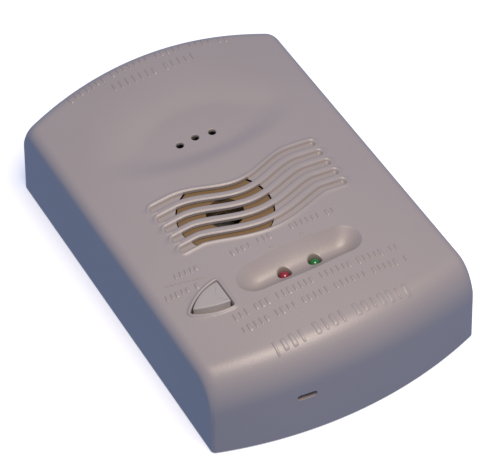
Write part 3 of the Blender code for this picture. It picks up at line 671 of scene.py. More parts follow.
# %% The basin's round ends
def bowl_end(ids, x, plain_y, across, side, left_out, inset):
    """Half rings of quads round one end of the basin, so that its edge is a clean curve."""
    start, end = (int(np.abs(across - side * x).argmin()) for x in (BOWL_X, BOWL_OUT_X))
    middle, count = FIRST_ROW + int(np.abs(FACE_V - BASIN_Y).argmin()), len(BOWL_RINGS) - 1
    left_out[min(start, end) : max(start, end), middle - count : middle + count] = True
    places = [(i, middle + count) for i in range(start, end, side)]
    places += [(end, j) for j in range(middle + count, middle - count, -1)]
    places += [(i, middle - count) for i in range(end, start - side, -side)]
    block = np.array([(x[place], plain_y[place]) for place in places])
    centre = np.array((side * BOWL_X, BASIN_Y))
    rays = (block - centre) / np.hypot(*(block - centre).T)[:, None]
    near = None
    for k, radius in enumerate(BOWL_RINGS[:-1]):
        share = max((radius - BASIN_RADIUS) / (BOWL_RINGS[-1] - BASIN_RADIUS), 0.0) ** 2
        spots = (centre + rays * radius) * (1.0 - share) + block * share
        spots[:, 1] = bulged(*spots.T)
        height = face_height(spots[:, 0], spots[:, 1], inset)
        between = np.column_stack([spots, height])[1:-1]
        loop = put(between) if k else np.full(len(between), ids[start, middle])
        loop = np.concatenate([[ids[start, middle + k]], loop, [ids[start, middle - k]]])
        if near is not None:
            join_lines(near, loop)
        near = loop
    join_lines(near, np.array([ids[place] for place in places]))


# %% One skin of the cover
def lower_wall(spots, inset):
    """Puts (x, z) places on the outer or inner side of the lower end wall."""
    x, z = spots[..., 0], spots[..., 1]
    top_z = face_height(x, wall_edges(x, inset)[0], inset)
    y = inset - end_reach(x) + LOWER_DRAFT * (z - RIM_Z) / (top_z - RIM_Z)
    return np.stack([x, y, z], axis=-1)


WALL_LEVELS = 20


def skin(inset):
    """Puts one skin of the cover. Returns the loops and points that its twin is joined to."""
    x, plain_y, across = face_lines(inset)
    y = bulged(x, plain_y)
    outer = inset == 0.0
    z = face_height(x, y, inset) + (groove_height(x, y) if outer else 0.0)
    half = WIDTH / 2 - SIDE_DRAFT - inset
    drafts = np.where(y < 0, LOWER_DRAFT, TITLE_DRAFT)
    radius = max(CORNER_RADIUS - inset, 0.4)
    ends = end_reach(x) - inset - drafts
    flat_x, flat_y = rounded_corner(x, y, half, ends, radius)
    ids = put(np.stack([flat_x, flat_y, z], axis=-1))
    left_out = open_slots(across)
    loops = []
    for centre, (limits_x, limits_y), outline, profile in face_holes():
        i0, i1 = (np.abs(across - limit).argmin() for limit in limits_x)
        j0, j1 = (FIRST_ROW + np.abs(FACE_V - limit).argmin() for limit in limits_y)
        left_out[i0:i1, j0:j1] = True
        places = block_loop(i0, i1, j0, j1)
        block_ids = np.array([ids[place] for place in places])
        block_spots = np.array([(flat_x[place], flat_y[place]) for place in places])
        angles = np.arctan2(*(block_spots - np.array(centre)).T[::-1])
        edge, outwards = outline(angles)
        rises = {row[0]: row[1 if outer else 2] for row in profile}

        def lay(spots, distance):
            height = face_height(spots[:, 0], spots[:, 1], inset) + rises.get(distance, 0.0)
            return np.column_stack([spots, height])

        loops.append(patch(block_spots, block_ids, edge, outwards, [row[0] for row in profile], lay))
    for side in (-1, 1):
        bowl_end(ids, x, plain_y, across, side, left_out, inset)
    for i, j in zip(*np.nonzero(~left_out)):
        quads.append((ids[i, j], ids[i + 1, j], ids[i + 1, j + 1], ids[i, j + 1]))
    rim_loop, window = walls(ids, x, y, flat_x, flat_y, z, inset)
    return ids, open_slots(across), [*loops, window], rim_loop


# %% A skin's walls, with the window for the release latch
def walls(ids, x, y, flat_x, flat_y, z, inset):
    """The skin's walls, from the face's edge down to the rim, with the release window."""
    half = WIDTH / 2 - SIDE_DRAFT - inset
    columns, rows = ids.shape
    places = block_loop(0, columns - 1, 0, rows - 1)
    at = tuple(np.array(places).T)
    foot_x = x[at] * (WIDTH / 2 - inset) / half
    edge_y = end_reach(x[at]) - inset - np.where(y[at] < 0, LOWER_DRAFT, TITLE_DRAFT)
    foot_end = end_reach(np.clip(foot_x, -WIDTH / 2, WIDTH / 2)) - inset
    foot_x, foot_y = rounded_corner(
        foot_x, y[at] * foot_end / edge_y, WIDTH / 2 - inset, foot_end, max(CORNER_RADIUS - inset, 0.4)
    )
    top = np.column_stack([flat_x[at], flat_y[at], z[at]])
    foot = np.column_stack([foot_x, foot_y, np.full(len(foot_x), RIM_Z)])
    shares = np.arange(1, WALL_LEVELS + 1)[:, None, None] / WALL_LEVELS
    spots = top + (foot - top) * shares
    levels = np.concatenate([ids[at][None, :], put(spots)])
    heights = np.concatenate([top[None, :, 2], spots[:, :, 2]])
    # The first columns of the loop run along the lower end, so a place's column is its grid column.
    reach = (WINDOW_SIZE[0] / 2 + 1.2, WINDOW_SIZE[1] / 2 + 1.3)
    i0, i1 = (np.abs(top[:columns, 0] - (LATCH_X + side * reach[0])).argmin() for side in (-1, 1))
    middle = (i0 + i1) // 2
    j0, j1 = (np.abs(heights[:, middle] - (WINDOW_Z + side * reach[1])).argmin() for side in (1, -1))
    block = block_loop(i0, i1, j0, j1)
    all_spots = np.concatenate([top[None], spots])
    block_ids = np.array([levels[j, i] for i, j in block])
    block_spots = np.array([all_spots[j, i][[0, 2]] for i, j in block])
    centre = np.array((LATCH_X, WINDOW_Z))
    half_wide, half_high = WINDOW_SIZE[0] / 2, WINDOW_SIZE[1] / 2
    corners = centre + np.array([(-1, -1), (1, -1), (1, 1), (-1, 1)]) * (half_wide, half_high)
    line = softened_outline(corners, (0, 0, 0, 0), WINDOW_CORNER)
    edge, outwards = outline_seen_from(centre, line, np.arctan2(*(block_spots - centre).T[::-1]))
    window = patch(
        block_spots, block_ids, edge, outwards, (0.0, 0.15, 0.4),
        lambda spots, distance: lower_wall(spots, inset),
    )  # fmt: skip
    for j in range(WALL_LEVELS):
        for k in range(len(places)):
            if not (i0 < k <= i1 and j0 <= j < j1):
                quads.append((levels[j, k - 1], levels[j, k], levels[j + 1, k], levels[j + 1, k - 1]))
    return levels[-1], window


# %% The cover as one closed piece
outer_ids, slot_cells, outer_loops, outer_rim = skin(0.0)
inner_ids, _, inner_loops, inner_rim = skin(WALL)
for near, far in zip([*outer_loops, outer_rim], [*inner_loops, inner_rim]):
    join_loops(near, far)
for i, j in zip(*np.nonzero(slot_cells)):
    for (di, dj), ((ai, aj), (bi, bj)) in {
        (-1, 0): ((0, 0), (0, 1)), (1, 0): ((1, 0), (1, 1)),
        (0, -1): ((0, 0), (1, 0)), (0, 1): ((0, 1), (1, 1)),
    }.items():  # fmt: skip
        if not slot_cells[i + di, j + dj]:
            a, b = (i + ai, j + aj), (i + bi, j + bj)
            quads.append((outer_ids[a], outer_ids[b], inner_ids[b], inner_ids[a]))
cover_mesh = taken_mesh("front_cover_fine")
cover = piece("front_cover_fine", cover_mesh, COVER_ABS, "detector", "front_cover")
print("front cover:", len(cover_mesh.polygons), "faces")

# %% [markdown]
# ## Turned pieces and stacked pieces
#
# Most of the inner pieces are either turned about an upright axis or stacked from outlines. `eased`
# rounds the corners of a profile first, so that every edge catches a little light. The Screw and
# Bevel modifiers could do this too. Loops of points are used here because they allow a recess in a
# head, a panel on a case and a plate that follows the cover, and the result is always closed.

# %% Turned and stacked meshes
def eased(profile, reach=0.25, steps=3):
    """A profile with each corner off the axis replaced by a short curve."""
    line = [np.array(spot, float) for spot in profile]
    out = []
    for k, spot in enumerate(line):
        before, after = line[k - 1], line[(k + 1) % len(line)]
        room = min(np.hypot(*(before - spot)), np.hypot(*(after - spot))) * 0.45
        if spot[0] < 0.01 or room < 0.01:
            out.append(spot)
            continue
        cut = min(reach, room)
        start = spot + (before - spot) / np.hypot(*(before - spot)) * cut
        end = spot + (after - spot) / np.hypot(*(after - spot)) * cut
        for t in np.linspace(0, 1, steps + 1):
            out.append((1 - t) ** 2 * start + 2 * t * (1 - t) * spot + t**2 * end)
    return out


def turned(name, profile, centre, sides=64, sunk=None):
    """A solid turned about an upright axis at centre. sunk lowers its top by a depth at each place."""
    angles = 2 * math.pi * np.arange(sides) / sides
    top = max(z for _, z in profile)
    loops = []
    for radius, z in profile:
        x, y = radius * np.cos(angles), radius * np.sin(angles)
        depth = sunk(x, y) if sunk and z > top - 0.6 else 0.0
        loops.append(put(np.column_stack([centre[0] + x, centre[1] + y, np.full(sides, z) - depth])))
    pairs = zip(loops, loops[1:] + loops[:1])
    for k, (near, far) in enumerate(pairs):
        if profile[k][0] > 0.001 or profile[(k + 1) % len(profile)][0] > 0.001:
            join_loops(near, far)
    return taken_mesh(name)


# %% Stacked meshes
def rounded_rectangle(centre, half, corner, steps=6):
    """A closed outline with round corners, the same number of points whatever its size."""
    spots = []
    for k, (sx, sy) in enumerate(((1, 1), (-1, 1), (-1, -1), (1, -1))):
        for t in np.linspace(0, math.pi / 2, steps + 1):
            angle = t + k * math.pi / 2
            x = sx * (half[0] - corner) + corner * math.cos(angle)
            y = sy * (half[1] - corner) + corner * math.sin(angle)
            spots.append((centre[0] + x, centre[1] + y))
    return np.array(spots)


def stacked(levels):
    """Rings of quads between outlines at rising heights, with a cap at each end, added to the lists."""
    loops = [put(np.column_stack([outline, np.zeros(len(outline)) + z])) for outline, z in levels]
    for near, far in zip(loops, loops[1:]):
        join_loops(near, far)
    quads.append(tuple(loops[0][::-1]))
    quads.append(tuple(loops[-1]))


def cased(low, high, corner=0.8, edge=0.3, draft=0.15, panel=0.6, raised=0.12):
    """A moulded case with rounded corners and edges, a slight draft and a raised panel on top."""
    centre = ((low[0] + high[0]) / 2, (low[1] + high[1]) / 2)
    half = ((high[0] - low[0]) / 2, (high[1] - low[1]) / 2)
    top, curve = high[2] - raised, (0.0, 0.134, 0.5, 1.0)

    def outline(inset):
        return rounded_rectangle(centre, (half[0] - inset, half[1] - inset), max(corner - inset, 0.08))

    rises = list(zip(curve, curve[::-1]))
    foot = [(outline(edge * share), low[2] + edge * rise) for rise, share in rises]
    brow = [(outline(draft + edge * share), top - edge * fall) for share, fall in rises]
    panel_edge = draft + edge + panel
    lid = [(outline(panel_edge), top), (outline(panel_edge + raised * 0.6), high[2] - raised * 0.3)]
    stacked([*foot, *brow, *lid, (outline(panel_edge + raised * 1.4), high[2])])


# %% Softened copies of CAD solids
def box_mm(node_name):
    """A CAD node's lowest and highest corner, in millimetres."""
    low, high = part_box(node_name)
    return tuple(v / MM for v in low), tuple(v / MM for v in high)


def softened(node_name, width):
    """A copy of a CAD node's mesh with its flat faces joined and its sharp edges rounded."""
    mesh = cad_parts[node_name].data.copy()
    mesh.name = node_name + "_softened"
    work = bmesh.new()
    work.from_mesh(mesh)
    bmesh.ops.remove_doubles(work, verts=work.verts[:], dist=0.000004)
    bmesh.ops.dissolve_limit(work, angle_limit=math.radians(1.0), verts=work.verts[:], edges=work.edges[:])
    folded = [edge for edge in work.edges if len(edge.link_faces) == 2]
    sharp = [edge for edge in folded if edge.calc_face_angle() > math.radians(32)]
    bmesh.ops.bevel(
        work, geom=sharp, offset=width * MM, offset_type="OFFSET", segments=2, profile=0.6, affect="EDGES",
        clamp_overlap=True,
    )  # fmt: skip
    bmesh.ops.triangulate(work, faces=[face for face in work.faces if len(face.verts) > 4])
    bmesh.ops.recalc_face_normals(work, faces=work.faces[:])
    work.to_mesh(mesh)
    work.free()
    return mesh


# %% [markdown]
# ## Finishes of the other materials
#
# Plastics share the cover's grain at other colours and sizes. Metals are drawn or turned, so their
# noise is stretched along one direction. Foam, charcoal and ceramic are cells of different sizes.
# Each kind is one function, because what sets two plastics apart is a colour and a grain, while
# what sets a plastic apart from a metal is the recipe itself.

# %% Metals
def brushed(name, colour, other, roughness=0.3, grain_mm=0.25, stretch=(1.0, 14.0, 1.0)):
    """A metal with fine lines along one direction and faint stains."""
    made, tree, shader = finish(name, Metallic=1.0)
    place = node(tree, "ShaderNodeTexCoord").outputs["Object"]
    drawn = node(tree, "ShaderNodeVectorMath", {1: stretch}, {0: place}, operation="MULTIPLY")
    lines = node(
        tree, "ShaderNodeTexNoise", {"Scale": per_mm(grain_mm) / 6, "Detail": 4.0},
        {"Vector": drawn.outputs[0]},
    )  # fmt: skip
    stain = node(tree, "ShaderNodeTexNoise", {"Scale": per_mm(4), "Detail": 3.0}, {"Vector": place})
    mixed = node(
        tree, "ShaderNodeMix", {"A": srgb(colour), "B": srgb(other)}, {"Factor": stain.outputs["Fac"]},
        data_type="RGBA",
    )  # fmt: skip
    rough = node(
        tree, "ShaderNodeMapRange", {"To Min": roughness - 0.1, "To Max": roughness + 0.15},
        {"Value": lines.outputs["Fac"]},
    )  # fmt: skip
    bump = node(
        tree, "ShaderNodeBump", {"Strength": 0.2, "Distance": 0.02 * MM}, {"Height": lines.outputs["Fac"]}
    )
    tree.links.new(mixed.outputs["Result"], shader.inputs["Base Color"])
    tree.links.new(rough.outputs["Result"], shader.inputs["Roughness"])
    tree.links.new(bump.outputs["Normal"], shader.inputs["Normal"])
    return made


# %% Cells and grains
def cellular(name, colour, other, cell_mm, depth_mm, roughness=0.9, **values):
    """Cells or grains of one size, with a colour of their own and a rounded surface."""
    made, tree, shader = finish(name, Roughness=roughness, **values)
    place = node(tree, "ShaderNodeTexCoord").outputs["Object"]
    cells = node(tree, "ShaderNodeTexVoronoi", {"Scale": per_mm(cell_mm)}, {"Vector": place})
    single = node(tree, "ShaderNodeSeparateColor", links={"Color": cells.outputs["Color"]})
    mixed = node(
        tree, "ShaderNodeMix", {"A": srgb(colour), "B": srgb(other)}, {"Factor": single.outputs["Red"]},
        data_type="RGBA",
    )  # fmt: skip
    bump = node(
        tree, "ShaderNodeBump", {"Strength": 0.7, "Distance": depth_mm * MM},
        {"Height": cells.outputs["Distance"]}, invert=True,
    )  # fmt: skip
    tree.links.new(mixed.outputs["Result"], shader.inputs["Base Color"])
    tree.links.new(bump.outputs["Normal"], shader.inputs["Normal"])
    return made


# %% Lamp resin and board lacquer
def tinted_epoxy(name, colour, other):
    """A lamp's coloured resin: glossy, partly clear, with faint clouds where it cured."""
    made, tree, shader = finish(
        name, Transmission_Weight=0.15, IOR=1.54, Coat_Weight=0.6, Coat_Roughness=0.04, Roughness=0.12
    )
    place = node(tree, "ShaderNodeTexCoord").outputs["Object"]
    cloud = node(tree, "ShaderNodeTexNoise", {"Scale": per_mm(1.2), "Detail": 2.0}, {"Vector": place})
    mixed = node(
        tree, "ShaderNodeMix", {"A": srgb(colour), "B": srgb(other)}, {"Factor": cloud.outputs["Fac"]},
        data_type="RGBA",
    )  # fmt: skip
    tree.links.new(mixed.outputs["Result"], shader.inputs["Base Color"])
    return made


def solder_mask(name, mask, copper, track_mm=0.9, gap_mm=2.4):
    """Board lacquer over copper tracks: straight tracks that step now and then, a little raised."""
    made, tree, shader = finish(name, Roughness=0.32, IOR=1.5, Coat_Weight=0.3)
    place = node(tree, "ShaderNodeTexCoord").outputs["Object"]
    steps = node(
        tree, "ShaderNodeTexBrick",
        {"Scale": per_mm(1.0), "Mortar Size": track_mm / 2, "Brick Width": 9.0, "Row Height": gap_mm},
        {"Vector": place},
    )  # fmt: skip
    weave = node(tree, "ShaderNodeTexNoise", {"Scale": per_mm(0.8), "Detail": 2.0}, {"Vector": place})
    mixed = node(
        tree, "ShaderNodeMix", {"A": srgb(mask), "B": srgb(copper)}, {"Factor": steps.outputs["Fac"]},
        data_type="RGBA",
    )  # fmt: skip
    height = node(
        tree, "ShaderNodeMath", links={0: steps.outputs["Fac"], 1: weave.outputs["Fac"]}, operation="ADD"
    )
    bump = node(
        tree, "ShaderNodeBump", {"Strength": 0.3, "Distance": 0.04 * MM}, {"Height": height.outputs["Value"]}
    )
    tree.links.new(mixed.outputs["Result"], shader.inputs["Base Color"])
    tree.links.new(bump.outputs["Normal"], shader.inputs["Normal"])
    return made


# %% Finishes of the inner pieces
# Moulded plastics: name, colour, darker colour, grain in mm, its depth in mm, roughness. A fine
# grain keeps a tight highlight, as on the button; a coarse one spreads it, as on the plate and tray.
BUTTON_ABS = grained_plastic("fine_grained_white_ABS", "a79f98", "a19992", 0.28, 0.01)
PLATE_ABS = grained_plastic("ribbed_white_ABS_plate", "c9c5bd", "c1bdb5", 0.5, 0.02, 0.55)
TRAY_ABS = grained_plastic("matt_grey_ABS_tray", "8d8e90", "858689", 0.45, 0.02, 0.6)
# Glass-filled PBT takes the horn's and the relays' heat: it is opaque, with a dry, even sheen.
RELAY_PBT = grained_plastic("relay_case_PBT", "3c4a58", "36434f", 0.3, 0.01, 0.42)
# The horn's colour is partly its own tan and partly painted shade: it is darker than the plastic, for the
# dim space under the grille.
HORN_PBT_WITH_PAINTED_SHADE = grained_plastic("tan_horn_PBT_with_painted_shade", "7d6340", "745b3a", 0.4, 0.014)
# Epoxy moulded round a chip is matt black, and a shrunk PVC sleeve is smooth and a little blue.
BLACK_EPOXY = grained_plastic("moulded_black_epoxy", "1c1c1e", "242427", 0.18, 0.012, 0.62)
SLEEVE_PVC = grained_plastic("capacitor_sleeve_PVC", "20242e", "292e3a", 0.8, 0.004, 0.28)
# Nylon is waxy, so it shines a little more than ABS.
SPACER_NYLON = grained_plastic("white_nylon_spacer", "cfcdc6", "c4c2bb", 0.4, 0.01, 0.4)
TERMINAL_NYLON = grained_plastic("green_terminal_nylon", "1f7a3a", "1b6e34", 0.35, 0.01, 0.35)
# Metals: zinc plating is a little duller than a drawn can, and brass is the only yellow one.
STEEL_ZINC = brushed("zinc_plated_steel", "c2c4c6", "a7a9a4", roughness=0.32)
CAN_STEEL = brushed("drawn_can_steel", "b9bbbe", "a2a4a8", roughness=0.26, stretch=(14.0, 1.0, 1.0))
SHEET_BRASS = brushed("rolled_sheet_brass", "c9a24c", "b48d3c", roughness=0.28)
TINNED_COPPER = brushed("tinned_copper_leg", "c8c9c6", "b4b5b0", grain_mm=0.15)
# Cells and grains: name, colour, other colour, cell in mm, depth in mm.
SEAL_FOAM = cellular("closed_cell_EPDM_foam", "17181a", "222327", 0.35, 0.05)
CARBON_CLOTH = cellular("activated_charcoal_grains", "131313", "2b2b2c", 0.6, 0.15, roughness=0.8)
SILVERED_CERAMIC = cellular(
    "silver_fired_piezo_ceramic", "b7b7b2", "c6c6c1", 0.2, 0.008, roughness=0.4, Metallic=0.6
)
# Lamp resin is glossy and lets a little light in, and lacquer lies glossy over the copper tracks.
RED_EPOXY = tinted_epoxy("red_lamp_epoxy", "a01424", "8a0f1e")
GREEN_EPOXY = tinted_epoxy("green_lamp_epoxy", "1f7a2c", "176424")
GREEN_MASK = solder_mask("green_solder_mask", "14502c", "1d6c3a")
print("finishes:", len(bpy.data.materials))

# %% [markdown]
# ## The test button
#
# Its top carries on the face's crown inside the opening. The side towards the lower end slopes
# down steeply, and below the face the skirt widens to a flange that keeps the button in. The stem
# reaches the switch on the board. An extruded curve would give it a flat top, so it is a stack of
# outlines instead, and the heights of its top are read from the cover's own rule.

# %% Test button
BUTTON_CENTRE, BUTTON_STEM = (-26.6, -32.0), (-26.6, -31.3)
BUTTON_TOP = softened_outline(((-33.4, -31.8), (-23.42, -35.35), (-23.42, -27.35)), (0.5, 0.0, 1.25), 0.4)
BUTTON_SKIRT = softened_outline(((-34.0, -32.4), (-23.55, -36.45), (-23.55, -27.4)), (0.9, 0.0, 1.25), 0.4)
BUTTON_FLANGE = softened_outline(((-34.9, -33.0), (-22.1, -37.9), (-22.1, -26.0)), (0.0, 0.0, 0.0), 0.4)
BUTTON_RISE, BUTTON_EDGE_DROP, SKIRT_DROP, STEM_RADIUS = 0.4, 0.36, 2.9, 1.9
around = np.linspace(-math.pi, math.pi, 120, endpoint=False)


def button_ring(line, share=1.0, inset=0.0):
    """One outline of the button, shrunk towards its centre and drawn in from its edge."""
    spots, outwards = outline_seen_from(BUTTON_CENTRE, line, around)
    return np.array(BUTTON_CENTRE) + (spots - outwards * inset - BUTTON_CENTRE) * share


# %% The button's outlines, from its top down
button_loops = []
for share, inset, drop in (
    (0.02, 0.5, 0.0), (0.35, 0.5, 0.0), (0.7, 0.5, 0.0), (1.0, 0.5, 0.0),
    (1.0, 0.3, 0.03), (1.0, 0.14, 0.1), (1.0, 0.04, 0.2), (1.0, 0.0, BUTTON_EDGE_DROP),
):  # fmt: skip
    ring = button_ring(BUTTON_TOP, share, inset)
    button_loops.append((ring, face_height(ring[:, 0], ring[:, 1], 0.0) + BUTTON_RISE - drop))
top, foot = button_ring(BUTTON_TOP), button_ring(BUTTON_SKIRT)
edge_height = face_height(top[:, 0], top[:, 1], 0.0) + BUTTON_RISE - BUTTON_EDGE_DROP
for share in (0.25, 0.5, 0.75, 1.0):
    button_loops.append((top + (foot - top) * share, edge_height - SKIRT_DROP * share))
stem = np.array(BUTTON_STEM) + np.column_stack([np.cos(around), np.sin(around)]) * STEM_RADIUS
for line, inset, z in (
    (BUTTON_SKIRT, 0.0, 25.75), (BUTTON_FLANGE, 0.15, 25.6), (BUTTON_FLANGE, 0.0, 25.4),
    (BUTTON_FLANGE, 0.0, 24.3), (BUTTON_FLANGE, 0.25, 24.02), (BUTTON_FLANGE, 1.6, 24.0),
):  # fmt: skip
    button_loops.append((button_ring(line, 1.0, inset), z))
button_loops += [(stem, 23.8), (stem, 17.0)]
button_loops.append((np.array(BUTTON_STEM) + (stem - BUTTON_STEM) * 0.8, 16.6))
stacked(button_loops[::-1])
button = piece("test_button_fine", taken_mesh("test_button_fine"), BUTTON_ABS, "button", "test_button")
print("test button:", len(button.data.polygons), "faces")

# %% [markdown]
# ## Lamps, sensor and horn
#
# These are turned. The horn's cup is closed by a tan plate with a port in its middle, which shows through
# the grille; its colour is partly the plastic's own tan and partly painted shade, darker than the plastic,
# for the dim space under the grille. The plate follows the face's crown from within, so its rings are
# lowered by the cover's rule and not left flat. A black seal closes the sensor's three holes from within.

# %% Lamps
LED_TIP_Z, LED_RADIUS, LED_FLANGE_Z = 27.9, 1.55, 24.5
dome_z = LED_TIP_Z - LED_RADIUS
dome_angles = np.linspace(0, 1.57, 14)
lamp_dome = [(LED_RADIUS * math.sin(t), dome_z + LED_RADIUS * math.cos(t)) for t in dome_angles]
flange = ((1.5, 0.05), (1.55, -0.02), (1.8, -0.05), (1.9, -0.15), (1.9, -0.9), (1.8, -1.0), (0, -1.0))
LAMP_PROFILE = [*lamp_dome, *[(radius, LED_FLANGE_Z + rise) for radius, rise in flange]]
spacer_top = LED_FLANGE_Z - 1.3
SPACER_PROFILE = eased(
    [(1.3, 11.9), (2.2, 11.9), (2.2, 13.2), (2.0, 13.4), (2.0, spacer_top - 1.3),
     (2.2, spacer_top - 1.1), (2.2, spacer_top), (1.3, spacer_top)], 0.15,
)  # fmt: skip
for side, colour, resin in ((-1, "red_alarm", RED_EPOXY), (1, "green_normal", GREEN_EPOXY)):
    spot = (side * LED_PITCH / 2, LED_Y)
    lamp_mesh = turned(f"{colour}_lamp", LAMP_PROFILE, spot, 48)
    lamp = piece(f"{colour}_lamp", lamp_mesh, resin, "detector", f"{colour}_led", sharp=50)
    spacer_mesh = turned(f"{colour}_spacer", SPACER_PROFILE, spot, 40)
    spacer = piece(f"{colour}_spacer", spacer_mesh, SPACER_NYLON, "detector", f"{colour}_led_spacer")
    print(colour, "lamp:", len(lamp_mesh.polygons), "faces")

# %% Profiles of the sensor's and the horn's pieces, as (radius, height)
SENSOR_SPOT, HORN_SPOT = (SENSOR_X, SENSOR_Y), (HORN_X, HORN_Y)
cell_profile = [(0, 20.4), (5.0, 20.4), (5.3, 20.1), (8.2, 20.1), (8.6, 19.4), (10.0, 19.0)]
cell_profile += [(10.0, 17.4), (9.7, 17.2), (9.7, 16.6), (10.0, 16.4), (10.0, 12.2), (0, 12.2)]
cap_profile = [(3.0, 24.0), (6.0, 24.0), (6.2, 23.85), (9.2, 23.85), (10.2, 23.6), (10.2, 20.7), (9.1, 20.7)]
cap_profile += [(9.1, 23.0), (3.0, 23.0)]
seal_profile = [(0, 25.9), (7.2, 25.9), (7.2, 27.3), (9.4, 27.3), (9.4, 24.3), (7.2, 24.3)]
seal_profile += [(7.2, 25.5), (0, 25.5)]
filter_profile = [(r, 22.6) for r in np.linspace(0, 8.2, 8)]
filter_profile += [(8.5, 22.5), (8.6, 22.3), (8.6, 21.2), (8.5, 21.0), (8.2, 20.9), (0, 20.9)]
PLATE_GAP, PLATE_TOP = 1.15, 33.0  # the plate's distance below the face; its rings' first height
housing_profile = [(r, PLATE_TOP) for r in np.linspace(5.4, 13.5, 10)]
housing_profile += eased(
    [(13.6, 26.2), (13.9, 25.9), (15.2, 25.9), (15.2, 22.0), (14.9, 21.8), (14.9, 13.6),
     (15.2, 13.4), (15.2, 13.0), (13.8, 13.0), (13.8, 24.7), (5.4, 24.7)], 0.2,
)  # fmt: skip
base_profile = [(11.0, 16.6), (12.6, 16.6), (12.6, 12.7), (15.2, 12.7), (15.2, 11.9), (11.0, 11.9)]
brass_profile = [(0, 17.3), (12.9, 17.3), (12.9, 16.9), (0, 16.9)]
ceramic_profile = [(0, 17.9), (8.5, 17.9), (8.5, 17.6), (0, 17.6)]
gasket_profile = [(14.0, 27.6), (15.4, 27.6), (15.4, 26.2), (14.0, 26.2)]
pin_profile = [(0, 11.9), (0.57, 11.9), (0.57, 9.0), (0.3, 8.4), (0, 8.4)]


def to_plate(x, y):
    """How far the horn's plate lies below PLATE_TOP, so that it follows the cover from within."""
    return PLATE_TOP - face_height(x + HORN_X, y + HORN_Y, 0.0) + PLATE_GAP


# %% Sensor and horn
PIN_COUNT, PIN_CIRCLE = 3, 6.5
for node_name, profile, spot, material, slot in (
    ("co_sensor_cell", eased(cell_profile, 0.3), SENSOR_SPOT, BLACK_EPOXY, "black_part"),
    ("co_sensor_cap", eased(cap_profile, 0.2), SENSOR_SPOT, SPACER_NYLON, "white_plate"),
    ("co_sensor_filter", filter_profile, SENSOR_SPOT, CARBON_CLOTH, "charcoal"),
    ("sensor_gas_seal", eased(seal_profile, 0.3), SENSOR_SPOT, SEAL_FOAM, "foam"),
    ("horn_housing", housing_profile, HORN_SPOT, HORN_PBT_WITH_PAINTED_SHADE, "horn_tan"),
    ("horn_base", eased(base_profile, 0.2), HORN_SPOT, HORN_PBT_WITH_PAINTED_SHADE, "horn_tan"),
    ("piezo_brass_disc", eased(brass_profile, 0.1), HORN_SPOT, SHEET_BRASS, "brass"),
    ("piezo_ceramic_disc", eased(ceramic_profile, 0.1), HORN_SPOT, SILVERED_CERAMIC, "ceramic"),
    ("horn_gasket", eased(gasket_profile, 0.4), HORN_SPOT, SEAL_FOAM, "foam"),
):
    mesh = turned(f"{node_name}_fine", profile, spot, 72, to_plate if node_name == "horn_housing" else None)
    made = piece(f"{node_name}_fine", mesh, material, "detector", node_name)
    print(node_name, len(mesh.polygons), "faces")
for index in range(PIN_COUNT):
    angle = math.radians(90 + 360 / PIN_COUNT * index)
    spot = (SENSOR_X + PIN_CIRCLE * math.cos(angle), SENSOR_Y + PIN_CIRCLE * math.sin(angle))
    pin_name = f"co_sensor_pin_{index + 1}"
    mesh = turned(f"{pin_name}_fine", eased(pin_profile, 0.12), spot, 24)
    pin = piece(f"{pin_name}_fine", mesh, SHEET_BRASS, "detector", pin_name)
print("sensor pins:", PIN_COUNT)

# %% [markdown]
# ## Copies at points
#
# Screws, chip legs, small parts and the strokes of legends are one shape many times over. A
# tree of geometry nodes sets a copy at every point of a mesh, and each point carries its own turn
# and size. When a surface to drape on is given, a ray cast down on it lifts every corner of every
# copy, so that the strokes follow the cover's crown and its rolled end.

# %% The tree of nodes
def copies_tree(name, draped):
    """A tree that sets a copy at each point, and drapes the copies on a sheet where that is wanted."""
    tree = bpy.data.node_groups.new(name, "GeometryNodeTree")
    face = tree.interface
    face.new_socket("Geometry", in_out="INPUT", socket_type="NodeSocketGeometry")
    face.new_socket("Copy", in_out="INPUT", socket_type="NodeSocketObject")
    face.new_socket("Drape on", in_out="INPUT", socket_type="NodeSocketObject")
    face.new_socket("Finish", in_out="INPUT", socket_type="NodeSocketMaterial")
    face.new_socket("Geometry", in_out="OUTPUT", socket_type="NodeSocketGeometry")
    given = node(tree, "NodeGroupInput")
    turn = node(tree, "GeometryNodeInputNamedAttribute", {"Name": "turn"}, data_type="FLOAT_VECTOR")
    size = node(tree, "GeometryNodeInputNamedAttribute", {"Name": "size"}, data_type="FLOAT_VECTOR")
    copy = node(tree, "GeometryNodeObjectInfo", links={"Object": given.outputs["Copy"]})
    set_out = node(
        tree, "GeometryNodeInstanceOnPoints",
        links={"Points": given.outputs["Geometry"], "Instance": copy.outputs["Geometry"],
               "Rotation": turn.outputs["Attribute"], "Scale": size.outputs["Attribute"]},
    )  # fmt: skip
    real = node(tree, "GeometryNodeRealizeInstances", links={"Geometry": set_out.outputs["Instances"]})
    last = real
    if draped:
        sheet = node(tree, "GeometryNodeObjectInfo", links={"Object": given.outputs["Drape on"]})
        place = node(tree, "GeometryNodeInputPosition")
        flat = node(
            tree, "ShaderNodeVectorMath", {1: (1, 1, 0)}, {0: place.outputs["Position"]},
            operation="MULTIPLY",
        )  # fmt: skip
        start = node(tree, "ShaderNodeVectorMath", {1: (0, 0, 0.1)}, {0: flat.outputs[0]}, operation="ADD")
        ray = node(
            tree, "GeometryNodeRaycast", {"Ray Direction": (0, 0, -1), "Ray Length": 1.0},
            {"Target Geometry": sheet.outputs["Geometry"], "Source Position": start.outputs[0]},
        )  # fmt: skip
        rise = node(
            tree, "ShaderNodeVectorMath", {1: (0, 0, 1)}, {0: ray.outputs["Hit Position"]},
            operation="MULTIPLY",
        )  # fmt: skip
        last = node(
            tree, "GeometryNodeSetPosition",
            links={"Geometry": real.outputs["Geometry"], "Offset": rise.outputs[0]},
        )  # fmt: skip
    coat = node(
        tree, "GeometryNodeSetMaterial",
        links={"Geometry": last.outputs["Geometry"], "Material": given.outputs["Finish"]},
    )  # fmt: skip
    node(tree, "NodeGroupOutput", links={"Geometry": coat.outputs["Geometry"]})
    return tree


